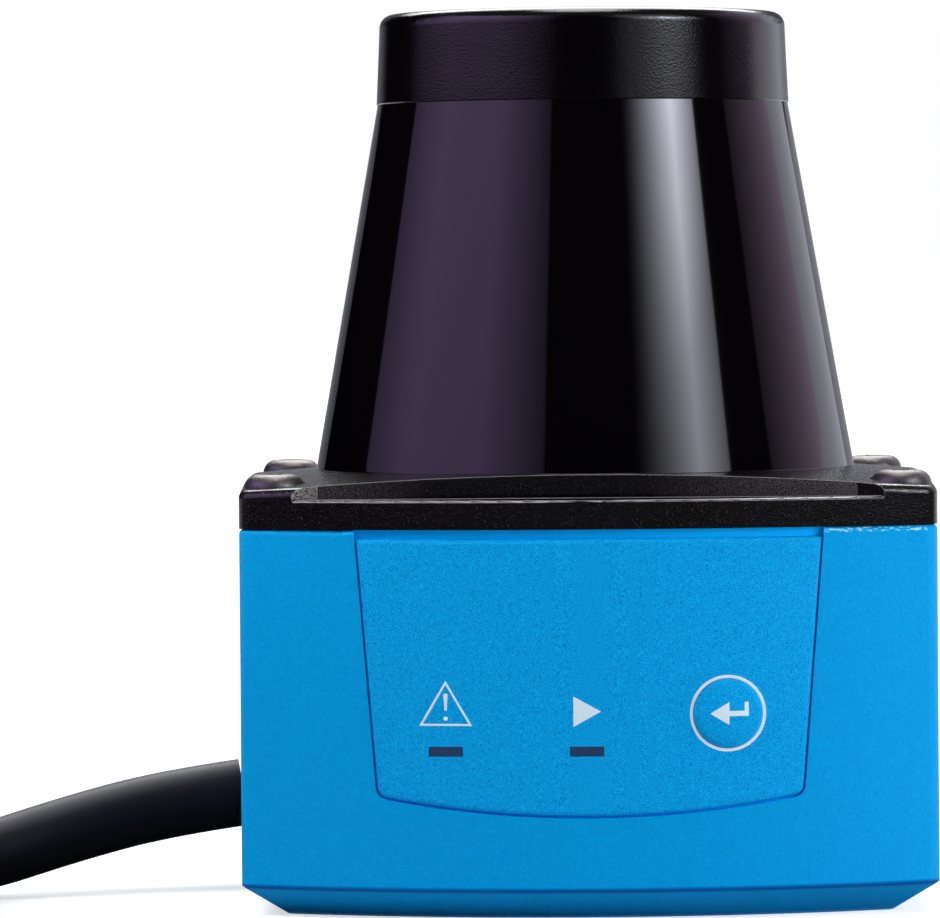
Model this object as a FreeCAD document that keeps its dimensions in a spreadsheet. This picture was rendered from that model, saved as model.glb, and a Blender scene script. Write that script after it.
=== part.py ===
import FreeCAD, Part
import math
import os
import re

import Sketcher

# Compact scanning range sensor, in millimetres. The origin is the middle of the base, +Z is up and
# the curved control panel faces -Y. A motor under the cap spins a tilted mirror about the Z axis,
# which sends the beam of the laser below it round through the cone of the hood.

V = FreeCAD.Vector
doc = FreeCAD.newDocument("scanning_range_sensor")
sheet = doc.addObject("Spreadsheet::Sheet", "Sizes")

SIZES = dict(
    # Die-cast housing, open at the top
    housing_width=60.0,
    housing_depth=60.0,
    housing_height=33.3,
    front_bulge=7.1,
    foot_bevel_height=2.6,
    foot_bevel_inset=3.9,
    wall=2.4,
    floor_thickness=3.0,
    corner_round=1.6,
    rim_round=0.5,
    # Corner columns and the screws of the hood
    screw_inset=3.0,
    screw_setback=2.7,
    column_reach=4.0,
    column_thread_depth=9.0,
    thread_play=0.05,
    flange_thread=1.25,
    flange_reach=9.0,
    flange_head=2.63,
    flange_head_side=1.2,
    flange_head_flat=1.43,
    flange_head_height=2.4,
    flange_head_crown=1.2,
    flange_socket=0.85,
    flange_socket_depth=1.1,
    # Seal between housing and hood
    gasket_width=1.2,
    gasket_thickness=1.0,
    gasket_play=0.05,
    # One-piece hood: flange, cone and cap
    flange_apex=5.4,
    dome_radius=330.0,
    flange_edge_round=0.7,
    cone_base_radius=24.7,
    cone_top_radius=18.2,
    cone_height=36.8,
    cap_step=0.1,
    cap_draft=0.3,
    cap_height=7.95,
    cap_round=1.2,
    cap_thickness=2.2,
    hood_wall=2.0,
    ledge_height=2.5,
    ledge_depth=5.6,
    ledge_edge_round=0.2,
    ledge_wall_width=46.1,
    ledge_mouth_width=50.6,
    spot_face_height=2.2,
    spot_face_play=0.15,
    flange_hole=1.7,
    spigot_height=1.5,
    spigot_play=0.25,
    spigot_wall=1.4,
    # Control panel, windows and button
    panel_top_width=39.7,
    panel_bottom_width=36.2,
    panel_top_margin=0.8,
    panel_side_height=21.9,
    panel_sag=1.7,
    panel_round=1.0,
    panel_edge_round=0.4,
    panel_thickness=0.6,
    panel_gap=0.15,
    control_pitch=12.0,
    control_shift=0.3,
    window_width=2.8,
    window_height=0.72,
    window_drop=18.85,
    window_play=0.05,
    window_gap=0.1,
    button_radius=3.0,
    button_drop=15.73,
    button_rise=0.6,
    button_crown=14.0,
    button_edge_round=0.6,
    button_play=0.12,
    button_travel=0.35,
    collar_width=0.7,
    collar_thickness=0.7,
    collar_gap=0.35,
    stem_radius=1.1,
    stem_length=0.6,
    # Board behind the panel
    panel_board_depth=8.6,
    panel_board_thickness=1.2,
    panel_board_width=41.0,
    panel_board_height=18.0,
    panel_board_drop=5.3,
    panel_post_x=18.0,
    panel_post_drop=8.3,
    panel_post_radius=2.0,
    panel_thread_depth=2.6,
    panel_thread=0.8,
    panel_reach=3.4,
    panel_head=1.7,
    panel_head_side=0.8,
    panel_head_flat=1.2,
    panel_head_height=1.3,
    panel_head_crown=0.9,
    panel_socket=0.55,
    panel_socket_depth=0.6,
    board_hole_play=0.1,
    led_width=1.6,
    led_height=0.8,
    led_depth=0.6,
    switch_side=4.6,
    switch_depth=2.0,
    plunger_radius=0.85,
    plunger_play=0.15,
    plunger_depth=0.65,
    plunger_room=0.55,
    header_width=10.0,
    header_height=2.5,
    header_overlap=2.0,
    # Main board on its posts
    post_height=10.0,
    post_radius=3.0,
    post_inset=4.75,
    post_thread_depth=6.0,
    board_thickness=1.6,
    board_side_gap=0.7,
    board_rear_gap=3.6,
    board_front_gap=2.7,
    standoff_radius=2.9,
    standoff_stud=1.25,
    standoff_stud_length=6.5,
    standoff_thread_depth=6.0,
    cable_header_width=10.0,
    cable_header_depth=5.0,
    cable_header_height=7.5,
    wire_bundle_radius=1.6,
    wire_bundle_length=11.0,
    # Threaded holes for fixing the sensor
    mount_thread=1.25,
    mount_depth=4.5,
    base_mount_x=20.0,
    mount_boss_radius=3.2,
    mount_boss_height=3.2,
    rear_mount_x=26.0,
    rear_mount_z=12.0,
    # Optics carrier with its rear pillar
    carrier_drop=5.3,
    carrier_thickness=3.0,
    carrier_thread=1.0,
    carrier_reach=7.0,
    carrier_head=2.2,
    carrier_head_side=0.8,
    carrier_head_flat=1.4,
    carrier_head_height=1.5,
    carrier_head_crown=1.1,
    carrier_socket=0.6,
    carrier_socket_depth=0.7,
    hood_clearance=0.9,
    pillar_thickness=1.5,
    pillar_half_angle=32.0,
    motor_plate_thickness=2.5,
    lens_clearance=0.4,
    retainer_wall=1.5,
    retainer_lip=1.0,
    retainer_lip_thickness=0.6,
    lens_fit=0.05,
    lens_edge=1.95,
    lens_crown=3.0,
    lens_seat=0.9,
    spoke_half_angle=10.0,
    laser_hub_wall=1.6,
    # Sending side in the middle of the lens
    laser_tube_radius=3.9,
    laser_tube_wall=0.9,
    laser_tube_rise=9.0,
    laser_tube_drop=3.0,
    laser_fit=0.05,
    collimator_thickness=2.0,
    collimator_crown=0.5,
    collimator_drop=2.5,
    diode_flange_height=1.2,
    diode_can_radius=2.3,
    diode_height=4.0,
    laser_board_radius=5.2,
    laser_board_thickness=1.2,
    flex_thickness=0.3,
    flex_width=3.0,
    flex_reach=16.0,
    flex_slot_play=0.5,
    # Receiving side below the lens
    baffle_wall=1.0,
    baffle_top_radius=13.0,
    baffle_foot_radius=7.0,
    detector_flange_radius=4.6,
    detector_flange_height=1.0,
    detector_can_radius=4.1,
    detector_can_wall=0.4,
    detector_height=4.4,
    detector_aperture=2.6,
    detector_glass=0.65,
    detector_fit=0.05,
    # Motor under the cap, and the rotor that it spins
    bell_gap=0.9,
    motor_height=8.4,
    bell_inset=3.6,
    bell_wall=0.9,
    bell_foot_gap=0.6,
    bell_hub_radius=2.2,
    bell_hub_length=1.6,
    magnet_thickness=2.2,
    magnet_height=5.0,
    air_gap=0.4,
    tube_wall=1.4,
    tube_rise=5.4,
    tube_shoulder=0.8,
    tube_shoulder_height=1.0,
    bearing_radius=3.0,
    bearing_width=2.5,
    bearing_fit=0.02,
    shaft_radius=0.95,
    shaft_play=0.05,
    shaft_drop=7.0,
    stator_height=3.0,
    stator_core=1.2,
    tooth_width=1.6,
    tooth_count=9,
    shoe_thickness=0.8,
    shoe_width=3.6,
    coil_thickness=0.55,
    coil_play=0.05,
    motor_flex_gap=0.1,
    disc_gap=1.5,
    disc_thickness=0.4,
    disc_overhang=2.2,
    disc_hub_radius=2.6,
    disc_play=0.05,
    fork_width=5.0,
    fork_gap=0.4,
    fork_tip_gap=0.7,
    fork_back=0.6,
    fork_jaw=0.9,
    mirror_radius=9.5,
    mirror_thickness=1.2,
    rotor_crown=0.6,
    # Cable, its gland and its plug
    cable_diameter=6.0,
    gland_y=2.0,
    gland_z=8.85,
    gland_neck=3.9,
    gland_play=0.05,
    gland_rim=4.5,
    gland_rim_thickness=0.8,
    gland_lip=1.2,
    gland_tail=1.4,
    tie_width=8.0,
    tie_thickness=0.6,
    tie_play=0.1,
    coil_inner_radius=25.0,
    coil_outer_radius=37.0,
    coil_height=12.0,
    plug_width=31.0,
    plug_waist=18.0,
    plug_thickness=15.0,
    plug_flange_depth=6.0,
    plug_body_depth=18.0,
    plug_neck_width=12.0,
    plug_neck_depth=3.0,
    plug_round=1.5,
    boot_length=7.0,
    boot_radius=4.6,
    shell_flange_height=12.5,
    shell_flange_thickness=0.8,
    shell_width=16.3,
    shell_height=7.9,
    shell_slant=1.1,
    shell_wall=0.5,
    shell_length=6.0,
    insert_play=0.1,
    insert_depth=1.6,
    pin_radius=0.38,
    pin_length=4.6,
    pin_pitch=2.29,
    pin_row=1.98,
    thumbscrew_x=12.5,
    thumbscrew_radius=1.4,
    thumbscrew_play=0.2,
    thumbscrew_reach=5.0,
    thumbscrew_knob=2.9,
    thumbscrew_knob_length=14.0,
    thumbscrew_gap=1.0,
)

DERIVED = dict(
    half_width="housing_width / 2",
    front_radius="(half_width ^ 2 + front_bulge ^ 2) / (2 * front_bulge)",
    front_axis="front_radius - housing_depth / 2",
    screw_x="half_width - screw_inset",
    screw_rear="housing_depth / 2 - screw_inset",
    screw_front="front_bulge + screw_setback - housing_depth / 2",
    panel_top="housing_height - panel_top_margin",
    panel_corner="panel_top - panel_side_height",
    window_z="housing_height - window_drop",
    button_z="housing_height - button_drop",
    panel_board_z="housing_height - panel_board_drop",
    panel_post_z="housing_height - panel_post_drop",
    panel_board_face="panel_board_depth - housing_depth / 2",
    panel_board_back="panel_board_face + panel_board_thickness",
    switch_face="panel_board_face - switch_depth",
    button_x="control_pitch - control_shift",
    collar_edge="button_x + button_radius + collar_width",
    button_hold="front_axis - sqrt((front_radius - wall) ^ 2 - collar_edge ^ 2)",
    collar_face="button_hold + collar_gap",
    stem_end="collar_face + collar_thickness + stem_length",
    board_z="floor_thickness + post_height",
    board_top="board_z + board_thickness",
    board_half="screw_x - column_reach - board_side_gap",
    board_front="panel_board_back + board_front_gap",
    board_rear="housing_depth / 2 - wall - board_rear_gap",
    post_x="board_half - post_inset",
    post_front="board_front + post_inset",
    post_rear="board_rear - post_inset",
    carrier_z="housing_height - carrier_drop",
    carrier_top="carrier_z + carrier_thickness",
    inner_base="cone_base_radius - hood_wall",
    inner_top="cone_top_radius - hood_wall",
    ceiling="cone_height + cap_height - cap_thickness",
    motor_seat="housing_height + ceiling - bell_gap - motor_height",
    motor_plate_z="motor_seat - motor_plate_thickness",
    inner_at_motor="inner_base - (inner_base - inner_top) * (motor_seat - housing_height) / cone_height",
    motor_plate_radius="inner_at_motor - hood_clearance",
    pillar_inner="motor_plate_radius - pillar_thickness",
    retainer_radius="pillar_inner - lens_clearance",
    lens_radius="retainer_radius - retainer_wall - lens_fit",
    light_radius="lens_radius - lens_seat",
    hub_radius="laser_tube_radius + laser_hub_wall",
    rotor_top="motor_plate_z - disc_gap - disc_thickness",
    mirror_z="rotor_top - rotor_crown - mirror_radius",
    disc_radius="mirror_radius + disc_overhang",
    bell_radius="motor_plate_radius - bell_inset",
    magnet_radius="bell_radius - bell_wall - lens_fit",
    stator_radius="magnet_radius - magnet_thickness - air_gap",
    tube_radius="bearing_radius + tube_wall",
    shoulder_radius="tube_radius + tube_shoulder",
    laser_foot="carrier_z - laser_tube_drop",
    gland_face="half_width + gland_rim_thickness",
)

for row, (alias, number) in enumerate(SIZES.items(), start=1):
    sheet.set(f"A{row}", alias)
    sheet.set(f"B{row}", str(number))
    sheet.setAlias(f"B{row}", alias)
doc.recompute()

nodes = {}


def bound(text):
    """The expression with each size tied to its cell and each derived name written out."""

    def word(match):
        name = match.group()
        if name in DERIVED:
            return f"({bound(DERIVED[name])})"
        return f"Sizes.{name}" if name in SIZES else name

    return re.sub(r"[a-z_][a-z_0-9]*", word, str(text))


def measure(text):
    """The expression's value in millimetres, or in degrees for an angle."""
    value = sheet.evalExpression(bound(text))
    return float(getattr(value, "Value", value))


def front_at(x, inset="0"):
    """Where the curved front, moved in by the inset, lies at a distance x from the middle."""
    return f"(front_axis - sqrt((front_radius - ({inset})) ^ 2 - ({x}) ^ 2))"


def seat(thing, x="0", y="0", z="0", turn=None):
    """Place a sub-part: a fixed turn, then a place that follows the sizes."""
    thing.Placement = FreeCAD.Placement(V(), turn or FreeCAD.Rotation())
    for axis, text in zip("xyz", (x, y, z)):
        thing.setExpression(f"Placement.Base.{axis}", bound(text))
    return thing


UP_TO_BACK = FreeCAD.Rotation(V(1, 0, 0), -90)
UP_TO_FRONT = FreeCAD.Rotation(V(1, 0, 0), 90)
UP_TO_LEFT = FreeCAD.Rotation(V(0, 1, 0), -90)


def body(label):
    made = doc.addObject("PartDesign::Body", label)
    made.Label = label
    return made


def origin(owner, role):
    return next(item for item in owner.Origin.OriginFeatures if item.Role == role)


def sketch(owner, plane="XY_Plane", offset="0"):
    made = owner.newObject("Sketcher::SketchObject", "Sketch")
    made.AttachmentSupport = [(origin(owner, plane), "")]
    made.MapMode = "FlatFace"
    made.setExpression("AttachmentOffset.Base.z", bound(offset))
    return made


def pin(made, place, x, y):
    """Tie one point of a sketch to a pair of expressions."""
    for kind, text in (("DistanceX", x), ("DistanceY", y)):
        index = made.addConstraint(Sketcher.Constraint(kind, -1, 1, *place, measure(text)))
        made.setExpression(f"Constraints[{index}]", bound(text))


def outline(made, corners):
    """A closed outline. A corner (x, y, radius) starts an arc that bulges to the right of its way,
    or to the left where the radius has a minus sign."""
    places = [V(measure(corner[0]), measure(corner[1]), 0) for corner in corners]
    sides = []
    for corner, here, there in zip(corners, places, places[1:] + places[:1]):
        if len(corner) == 2:
            sides.append((made.addGeometry(Part.LineSegment(here, there)), 1, 2))
            continue
        way = there - here
        side = -1 if corner[2].startswith("-") else 1
        radius = measure(corner[2].lstrip("-"))
        rise = radius - math.sqrt(radius**2 - (way.Length / 2) ** 2)
        middle = (here + there) / 2 + V(way.y, -way.x, 0) * (side * rise / way.Length)
        ends = (here, there) if side > 0 else (there, here)
        index = made.addGeometry(Part.Arc(ends[0], middle, ends[1]))
        sides.append((index, 1, 2) if side > 0 else (index, 2, 1))
        tie = made.addConstraint(Sketcher.Constraint("Radius", index, radius))
        made.setExpression(f"Constraints[{tie}]", bound(corner[2].lstrip("-")))
    for corner, (index, first, _), (last, _, end) in zip(corners, sides, sides[-1:] + sides[:-1]):
        made.addConstraint(Sketcher.Constraint("Coincident", last, end, index, first))
        pin(made, (index, first), corner[0], corner[1])
    return made


def circle(made, x, y, radius):
    middle = V(measure(x), measure(y), 0)
    index = made.addGeometry(Part.Circle(middle, V(0, 0, 1), measure(radius)))
    pin(made, (index, 3), x, y)
    tie = made.addConstraint(Sketcher.Constraint("Radius", index, measure(radius)))
    made.setExpression(f"Constraints[{tie}]", bound(radius))
    return made


def feature(owner, kind, profile, **settings):
    """A feature on a sketch. Text settings are expressions. A cut has to take something away."""
    before = owner.Tip.Shape.Volume if owner.Tip else 0
    made = owner.newObject(f"PartDesign::{kind}", kind)
    made.Profile = profile
    if kind in ("Revolution", "Groove"):
        made.ReferenceAxis = (profile, ["V_Axis"])
        made.Angle = 360
    for name, value in settings.items():
        if isinstance(value, str):
            made.setExpression(name, bound(value))
        else:
            setattr(made, name, value)
    doc.recompute()
    if kind in ("Pocket", "Groove") and not made.Shape.Volume < before - 1e-6:
        raise RuntimeError(f"{owner.Label}: the {kind} cuts nothing")
    return made


def around(owner, cut, count):
    """Repeat a feature evenly about the body's Z axis."""
    made = owner.newObject("PartDesign::PolarPattern", "PolarPattern")
    made.Originals = [cut]
    made.Axis = (origin(owner, "Z_Axis"), [""])
    made.Angle = 360
    made.setExpression("Occurrences", bound(count))
    owner.Tip = made
    doc.recompute()
    return made


def rounded(owner, radius, wanted):
    """Round the edges that the test picks, by their middle and their way."""
    base = owner.Tip
    names = []
    for number, edge in enumerate(base.Shape.Edges, start=1):
        first, last = edge.firstVertex().Point, edge.lastVertex().Point
        middle = edge.valueAt((edge.FirstParameter + edge.LastParameter) / 2)
        if wanted(middle, last - first):
            names.append(f"Edge{number}")
    made = owner.newObject("PartDesign::Fillet", "Fillet")
    made.Base = (base, names)
    made.setExpression("Radius", bound(radius))
    doc.recompute()
    return made


def turned(label, corners, **place):
    """A turned piece: corners are (radius, height) about its own upright axis."""
    made = body(label)
    profile = outline(sketch(made, "XZ_Plane"), corners)
    feature(made, "Revolution", profile)
    return seat(made, **place)


def block(label, x, y, z, low_x, low_y, low_z):
    made = doc.addObject("Part::Box", label)
    for name, text in (("Length", x), ("Width", y), ("Height", z)):
        made.setExpression(name, bound(text))
    return seat(made, low_x, low_y, low_z)


def rod(label, radius, length, x, y, z, turn=None):
    made = doc.addObject("Part::Cylinder", label)
    made.setExpression("Radius", bound(radius))
    made.setExpression("Height", bound(length))
    return seat(made, x, y, z, turn)


def cut(label, base, tool):
    made = doc.addObject("Part::Cut", label)
    made.Base = base
    made.Tool = tool
    return made


def common(label, base, tool):
    made = doc.addObject("Part::Common", label)
    made.Base = base
    made.Tool = tool
    return made


def fused(label, members):
    made = doc.addObject("Part::MultiFuse", label)
    made.Shapes = members
    return made


def group(label, members):
    made = doc.addObject("Part::Compound", label)
    made.Links = members
    return made


def node(label, thing):
    """Register a finished sub-part under the name of its file."""
    thing.Label = label
    nodes[label] = thing
    return thing


def outer_plan(grow="0"):
    """Plan of housing and flange: three straight sides and a curved front."""
    half = f"(half_width + {grow})"
    rear = f"(housing_depth / 2 + {grow})"
    corner = front_at(half, f"-({grow})")
    return [
        (half, corner),
        (half, rear),
        (f"-{half}", rear),
        (f"-{half}", corner, f"front_radius + {grow}"),
    ]


def chamber_plan(grow="0"):
    """Plan of the space inside the walls, which steps in round the four corner columns."""
    side = f"(half_width - wall + {grow})"
    rear = f"(housing_depth / 2 - wall + {grow})"
    column = f"(screw_x - column_reach + {grow})"
    back = f"(screw_rear - column_reach + {grow})"
    fore = f"(screw_front + column_reach - ({grow}))"
    inset = f"wall - ({grow})"
    front = front_at(column, inset)
    return [
        (side, fore),
        (side, back),
        (column, back),
        (column, rear),
        (f"-{column}", rear),
        (f"-{column}", back),
        (f"-{side}", back),
        (f"-{side}", fore),
        (f"-{column}", fore),
        (f"-{column}", front, f"front_radius - ({inset})"),
        (column, front),
        (column, fore),
    ]


SCREW_PLACES = [(f"{side}screw_x", row) for row in ("screw_front", "screw_rear") for side in ("", "-")]
POST_PLACES = [(f"{side}post_x", row) for row in ("post_front", "post_rear") for side in ("", "-")]
SIDES = ("", "-")


def screw(label, kind, x, y, z, turn=None):
    """A pan-head screw with a six-lobed socket, standing on the underside of its head."""
    made = turned(
        label,
        [
            ("0", f"-{kind}_reach"),
            (f"{kind}_thread", f"-{kind}_reach"),
            (f"{kind}_thread", "0"),
            (f"{kind}_head", "0"),
            (f"{kind}_head", f"{kind}_head_side", f"{kind}_head_crown"),
            (f"{kind}_head_flat", f"{kind}_head_height"),
            ("0", f"{kind}_head_height"),
        ],
        x=x,
        y=y,
        z=z,
        turn=turn,
    )
    middle = circle(sketch(made, offset=f"{kind}_head_height"), "0", "0", f"{kind}_socket")
    feature(made, "Pocket", middle, Length=f"{kind}_socket_depth")
    lobe = circle(sketch(made, offset=f"{kind}_head_height"), f"{kind}_socket", "0", f"{kind}_socket / 3")
    around(made, feature(made, "Pocket", lobe, Length=f"{kind}_socket_depth"), 6)
    return made


# Housing: a cast box with a bevelled foot, corner columns for the screws, and posts for the boards.
housing = body("housing_casting")
foot = outline(sketch(housing), outer_plan("-foot_bevel_inset"))
plan = outline(sketch(housing, offset="foot_bevel_height"), outer_plan())
feature(housing, "AdditiveLoft", foot, Sections=[plan], Ruled=True)
feature(housing, "Pad", plan, Length="housing_height - foot_bevel_height")
rounded(housing, "corner_round", lambda middle, way: abs(way.z) > 1)
rounded(housing, "rim_round", lambda middle, way: middle.z > measure("housing_height") - 1e-3)
top = outline(sketch(housing, offset="housing_height"), chamber_plan())
feature(housing, "Pocket", top, Length="housing_height - floor_thickness")
rebate = outline(sketch(housing, offset="housing_height"), chamber_plan("gasket_width"))
feature(housing, "Pocket", rebate, Length="gasket_thickness")
threads = sketch(housing, offset="housing_height")
for x, y in SCREW_PLACES:
    circle(threads, x, y, "flange_thread + thread_play")
feature(housing, "Pocket", threads, Length="column_thread_depth")
posts = sketch(housing, offset="floor_thickness / 2")
for x, y in POST_PLACES:
    circle(posts, x, y, "post_radius")
feature(housing, "Pad", posts, Length="board_z - floor_thickness / 2")
post_threads = sketch(housing, offset="board_z")
for x, y in POST_PLACES:
    circle(post_threads, x, y, "standoff_stud + thread_play")
feature(housing, "Pocket", post_threads, Length="post_thread_depth")
bosses = sketch(housing, offset="floor_thickness / 2")
for side in SIDES:
    circle(bosses, f"{side}base_mount_x", "0", "mount_boss_radius")
feature(housing, "Pad", bosses, Length="floor_thickness / 2 + mount_boss_height")
base_mounts = sketch(housing)
for side in SIDES:
    circle(base_mounts, f"{side}base_mount_x", "0", "mount_thread")
feature(housing, "Pocket", base_mounts, Length="mount_depth", Reversed=True)
rear_mounts = sketch(housing, "XZ_Plane", "-housing_depth / 2")
for side in SIDES:
    circle(rear_mounts, f"{side}rear_mount_x", "rear_mount_z", "mount_thread")
feature(housing, "Pocket", rear_mounts, Length="mount_depth", Reversed=True)
gland_hole = sketch(housing, "YZ_Plane", "-half_width")
circle(gland_hole, "gland_y", "gland_z", "gland_neck + gland_play")
feature(housing, "Pocket", gland_hole, Length="wall", Reversed=True)
panel_posts = sketch(housing, "XZ_Plane", "-panel_board_face")
for side in SIDES:
    circle(panel_posts, f"{side}panel_post_x", "panel_post_z", "panel_post_radius")
feature(housing, "Pad", panel_posts, Length=f"panel_board_face - {front_at('panel_post_x', 'wall / 2')}")
panel_threads = sketch(housing, "XZ_Plane", "-panel_board_face")
for side in SIDES:
    circle(panel_threads, f"{side}panel_post_x", "panel_post_z", "panel_thread + thread_play")
feature(housing, "Pocket", panel_threads, Length="panel_thread_depth", Reversed=True)


# Control panel: a thin inset that follows the curve of the front. Its recess leaves a fine gap round it
# and is open at the top, under the flange.
def panel_blank(label, grow, top="panel_top"):
    """Upright prism with the panel's tapered outline, through the front wall and up to a given height."""
    made = body(label)
    spread = f"(panel_top_width - panel_bottom_width) / 2 * ({top} - panel_corner) / panel_side_height"
    bottom_half = f"(panel_bottom_width / 2 + {grow})"
    top_half = f"({bottom_half} + {spread})"
    corner = f"(panel_corner - {grow})"
    sag = f"({bottom_half} ^ 2 + panel_sag ^ 2) / (2 * panel_sag)"
    face = outline(
        sketch(made, "XZ_Plane", "housing_depth / 2 - front_bulge"),
        [
            (f"-{top_half}", top),
            (f"-{bottom_half}", corner, sag),
            (bottom_half, corner),
            (top_half, top),
        ],
    )
    feature(made, "Pad", face, Length="front_bulge * 2")
    low = measure("panel_corner") + measure("panel_side_height") / 2
    rounded(made, f"panel_round + {grow}", lambda middle, way: abs(way.y) > 1 and middle.z < low)
    return made


front_skin = rod("front_skin", "front_radius", "housing_height", "0", "front_axis", "0")
front_core = rod("front_core", "front_radius - panel_thickness", "housing_height", "0", "front_axis", "0")
recess_blank = panel_blank("recess_blank", "panel_gap", "housing_height")
recess = cut("panel_recess", recess_blank, front_core)
button_bore = rod(
    "button_bore",
    "button_radius + button_play",
    "housing_depth / 2",
    "button_x",
    "0",
    "button_z",
    UP_TO_FRONT,
)
WINDOW_PLACES = ("-control_pitch - control_shift", "-control_shift")


def window_bar(label, x, play, back):
    """Bar of the section of a status window, from a given depth out past the front."""
    return block(
        label,
        f"window_width + 2 * {play}",
        f"{back} + housing_depth / 2",
        f"window_height + 2 * {play}",
        f"{x} - window_width / 2 - {play}",
        "-housing_depth / 2",
        f"window_z - window_height / 2 - {play}",
    )


window_bores = [window_bar(f"window_bore_{i}", x, "window_play", "0") for i, x in enumerate(WINDOW_PLACES)]
bores = fused("front_bores", [button_bore] + window_bores)
inner_reach = "front_radius - wall - column_reach"
room_behind = rod("room_behind", inner_reach, "housing_height", "0", "front_axis", "0")
front_wall = cut("front_wall", panel_blank("wall_blank", "panel_gap"), room_behind)
bores_in_wall = common("bores_in_wall", bores, front_wall)
node("housing", cut("housing", housing, fused("front_cuts", [recess, bores_in_wall])))
panel_face = common("panel_face", panel_blank("panel_prism", "0"), front_skin)
panel_sheet = cut("panel_sheet", panel_face, front_core)


def eased(label, solid, size, chosen):
    """Copy of a solid with its chosen edges rounded."""
    doc.recompute()
    made = doc.addObject("Part::Fillet", label)
    made.Base = solid
    round_size = measure(size)
    numbered = enumerate(solid.Shape.Edges, start=1)
    made.Edges = [(number, round_size, round_size) for number, edge in numbered if chosen(edge)]
    return made


def on_skin(edge):
    """Whether both ends of an edge lie on the curved front."""
    face_axis = V(0, measure("front_axis"), 0)
    ends = [edge.valueAt(end) - face_axis for end in (edge.FirstParameter, edge.LastParameter)]
    return min(math.hypot(away.x, away.y) for away in ends) > measure("front_radius") - 1e-3


panel_cover = eased("panel_cover", panel_sheet, "panel_edge_round", on_skin)
node("front_panel", cut("front_panel", panel_cover, bores))
pipe_end = "panel_board_face - led_depth - window_gap"
pipes = [
    common(f"light_pipe_{i}", window_bar(f"pipe_bar_{i}", x, "0", pipe_end), front_skin)
    for i, x in enumerate(WINDOW_PLACES)
]
node("light_pipes", group("light_pipes", pipes))

# Teach button: a short round key with a domed face and a soft shoulder, proud of the curved panel. A
# collar behind the wall keeps it in, and its stem stands on the plunger of the switch.
dome = doc.addObject("Part::Sphere", "button_dome")
dome.setExpression("Radius", bound("button_crown"))
sunk = "(front_radius + button_rise - button_crown)"
lean = "asin(button_x / front_radius)"
seat(dome, f"{sunk} * sin({lean})", f"front_axis - {sunk} * cos({lean})", "button_z")
key = rod("button_key", "button_radius", "collar_face + housing_depth / 2", "button_x", "collar_face",
          "button_z", UP_TO_FRONT)
collar = rod("button_collar", "button_radius + collar_width", "collar_thickness", "button_x",
             "collar_face", "button_z", UP_TO_BACK)
stem = rod("button_stem", "stem_radius", "collar_thickness + stem_length", "button_x", "collar_face",
           "button_z", UP_TO_BACK)
key_back = measure("collar_face")
button_face = eased(
    "button_face",
    common("button_blank", key, dome),
    "button_edge_round",
    lambda edge: edge.isClosed() and edge.CenterOfMass.y < key_back - 1,
)
node("teach_button", fused("teach_button", [button_face, collar, stem]))
plunger = rod("switch_plunger", "plunger_radius", "switch_face + plunger_depth - stem_end", "button_x",
              "stem_end", "button_z", UP_TO_BACK)
node("switch_plunger", plunger)
switch_case = block("switch_case", "switch_side", "switch_depth", "switch_side",
                    "button_x - switch_side / 2", "switch_face", "button_z - switch_side / 2")
switch_well = rod("switch_well", "plunger_radius + plunger_play", "plunger_depth + plunger_room",
                  "button_x", "switch_face", "button_z", UP_TO_BACK)
node("teach_switch", cut("teach_switch", switch_case, switch_well))

# Board behind the panel, with the two status lamps, held by two screws.
panel_board = body("panel_board")
face = sketch(panel_board, "XZ_Plane")
outline(
    face,
    [
        ("-panel_board_width / 2", "-panel_board_height"),
        ("panel_board_width / 2", "-panel_board_height"),
        ("panel_board_width / 2", "0"),
        ("-panel_board_width / 2", "0"),
    ],
)
for side in SIDES:
    circle(face, f"{side}panel_post_x", "panel_post_z - panel_board_z", "panel_thread + board_hole_play")
feature(panel_board, "Pad", face, Length="panel_board_thickness", Reversed=True)
node("panel_board", seat(panel_board, y="panel_board_face", z="panel_board_z"))
panel_screws = [
    screw(f"panel_screw_{i}", "panel", f"{side}panel_post_x", "panel_board_back", "panel_post_z", UP_TO_BACK)
    for i, side in enumerate(SIDES)
]
node("panel_screws", group("panel_screws", panel_screws))
lamps = [
    block(f"status_led_{i}", "led_width", "led_depth", "led_height", f"{x} - led_width / 2",
          "panel_board_face - led_depth", "window_z - led_height / 2")
    for i, x in enumerate(WINDOW_PLACES)
]
node("status_leds", group("status_leds", lamps))
node("panel_header", block("panel_header", "header_width", "board_front_gap + header_overlap",
                           "header_height", "-header_width / 2", "panel_board_back", "board_top"))

# Main board on the four posts, with the standoffs that carry the optics above it.
main_board = body("main_board")
plate = sketch(main_board)
outline(
    plate,
    [
        ("-board_half", "board_front"),
        ("board_half", "board_front"),
        ("board_half", "board_rear"),
        ("-board_half", "board_rear"),
    ],
)
for x, y in POST_PLACES:
    circle(plate, x, y, "standoff_stud + board_hole_play")
feature(main_board, "Pad", plate, Length="board_thickness")
node("main_board", seat(main_board, z="board_z"))


def standoff(label, x, y):
    """Hexagonal spacer with a stud below and a threaded hole above."""
    made = body(label)
    hexagon = [(f"standoff_radius * cos({a})", f"standoff_radius * sin({a})") for a in range(0, 360, 60)]
    feature(made, "Pad", outline(sketch(made), hexagon), Length="carrier_z - board_top")
    stud = circle(sketch(made), "0", "0", "standoff_stud")
    feature(made, "Pad", stud, Length="standoff_stud_length", Reversed=True)
    hole = circle(sketch(made, offset="carrier_z - board_top"), "0", "0", "carrier_thread + thread_play")
    feature(made, "Pocket", hole, Length="standoff_thread_depth")
    return seat(made, x, y, "board_top")


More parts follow.
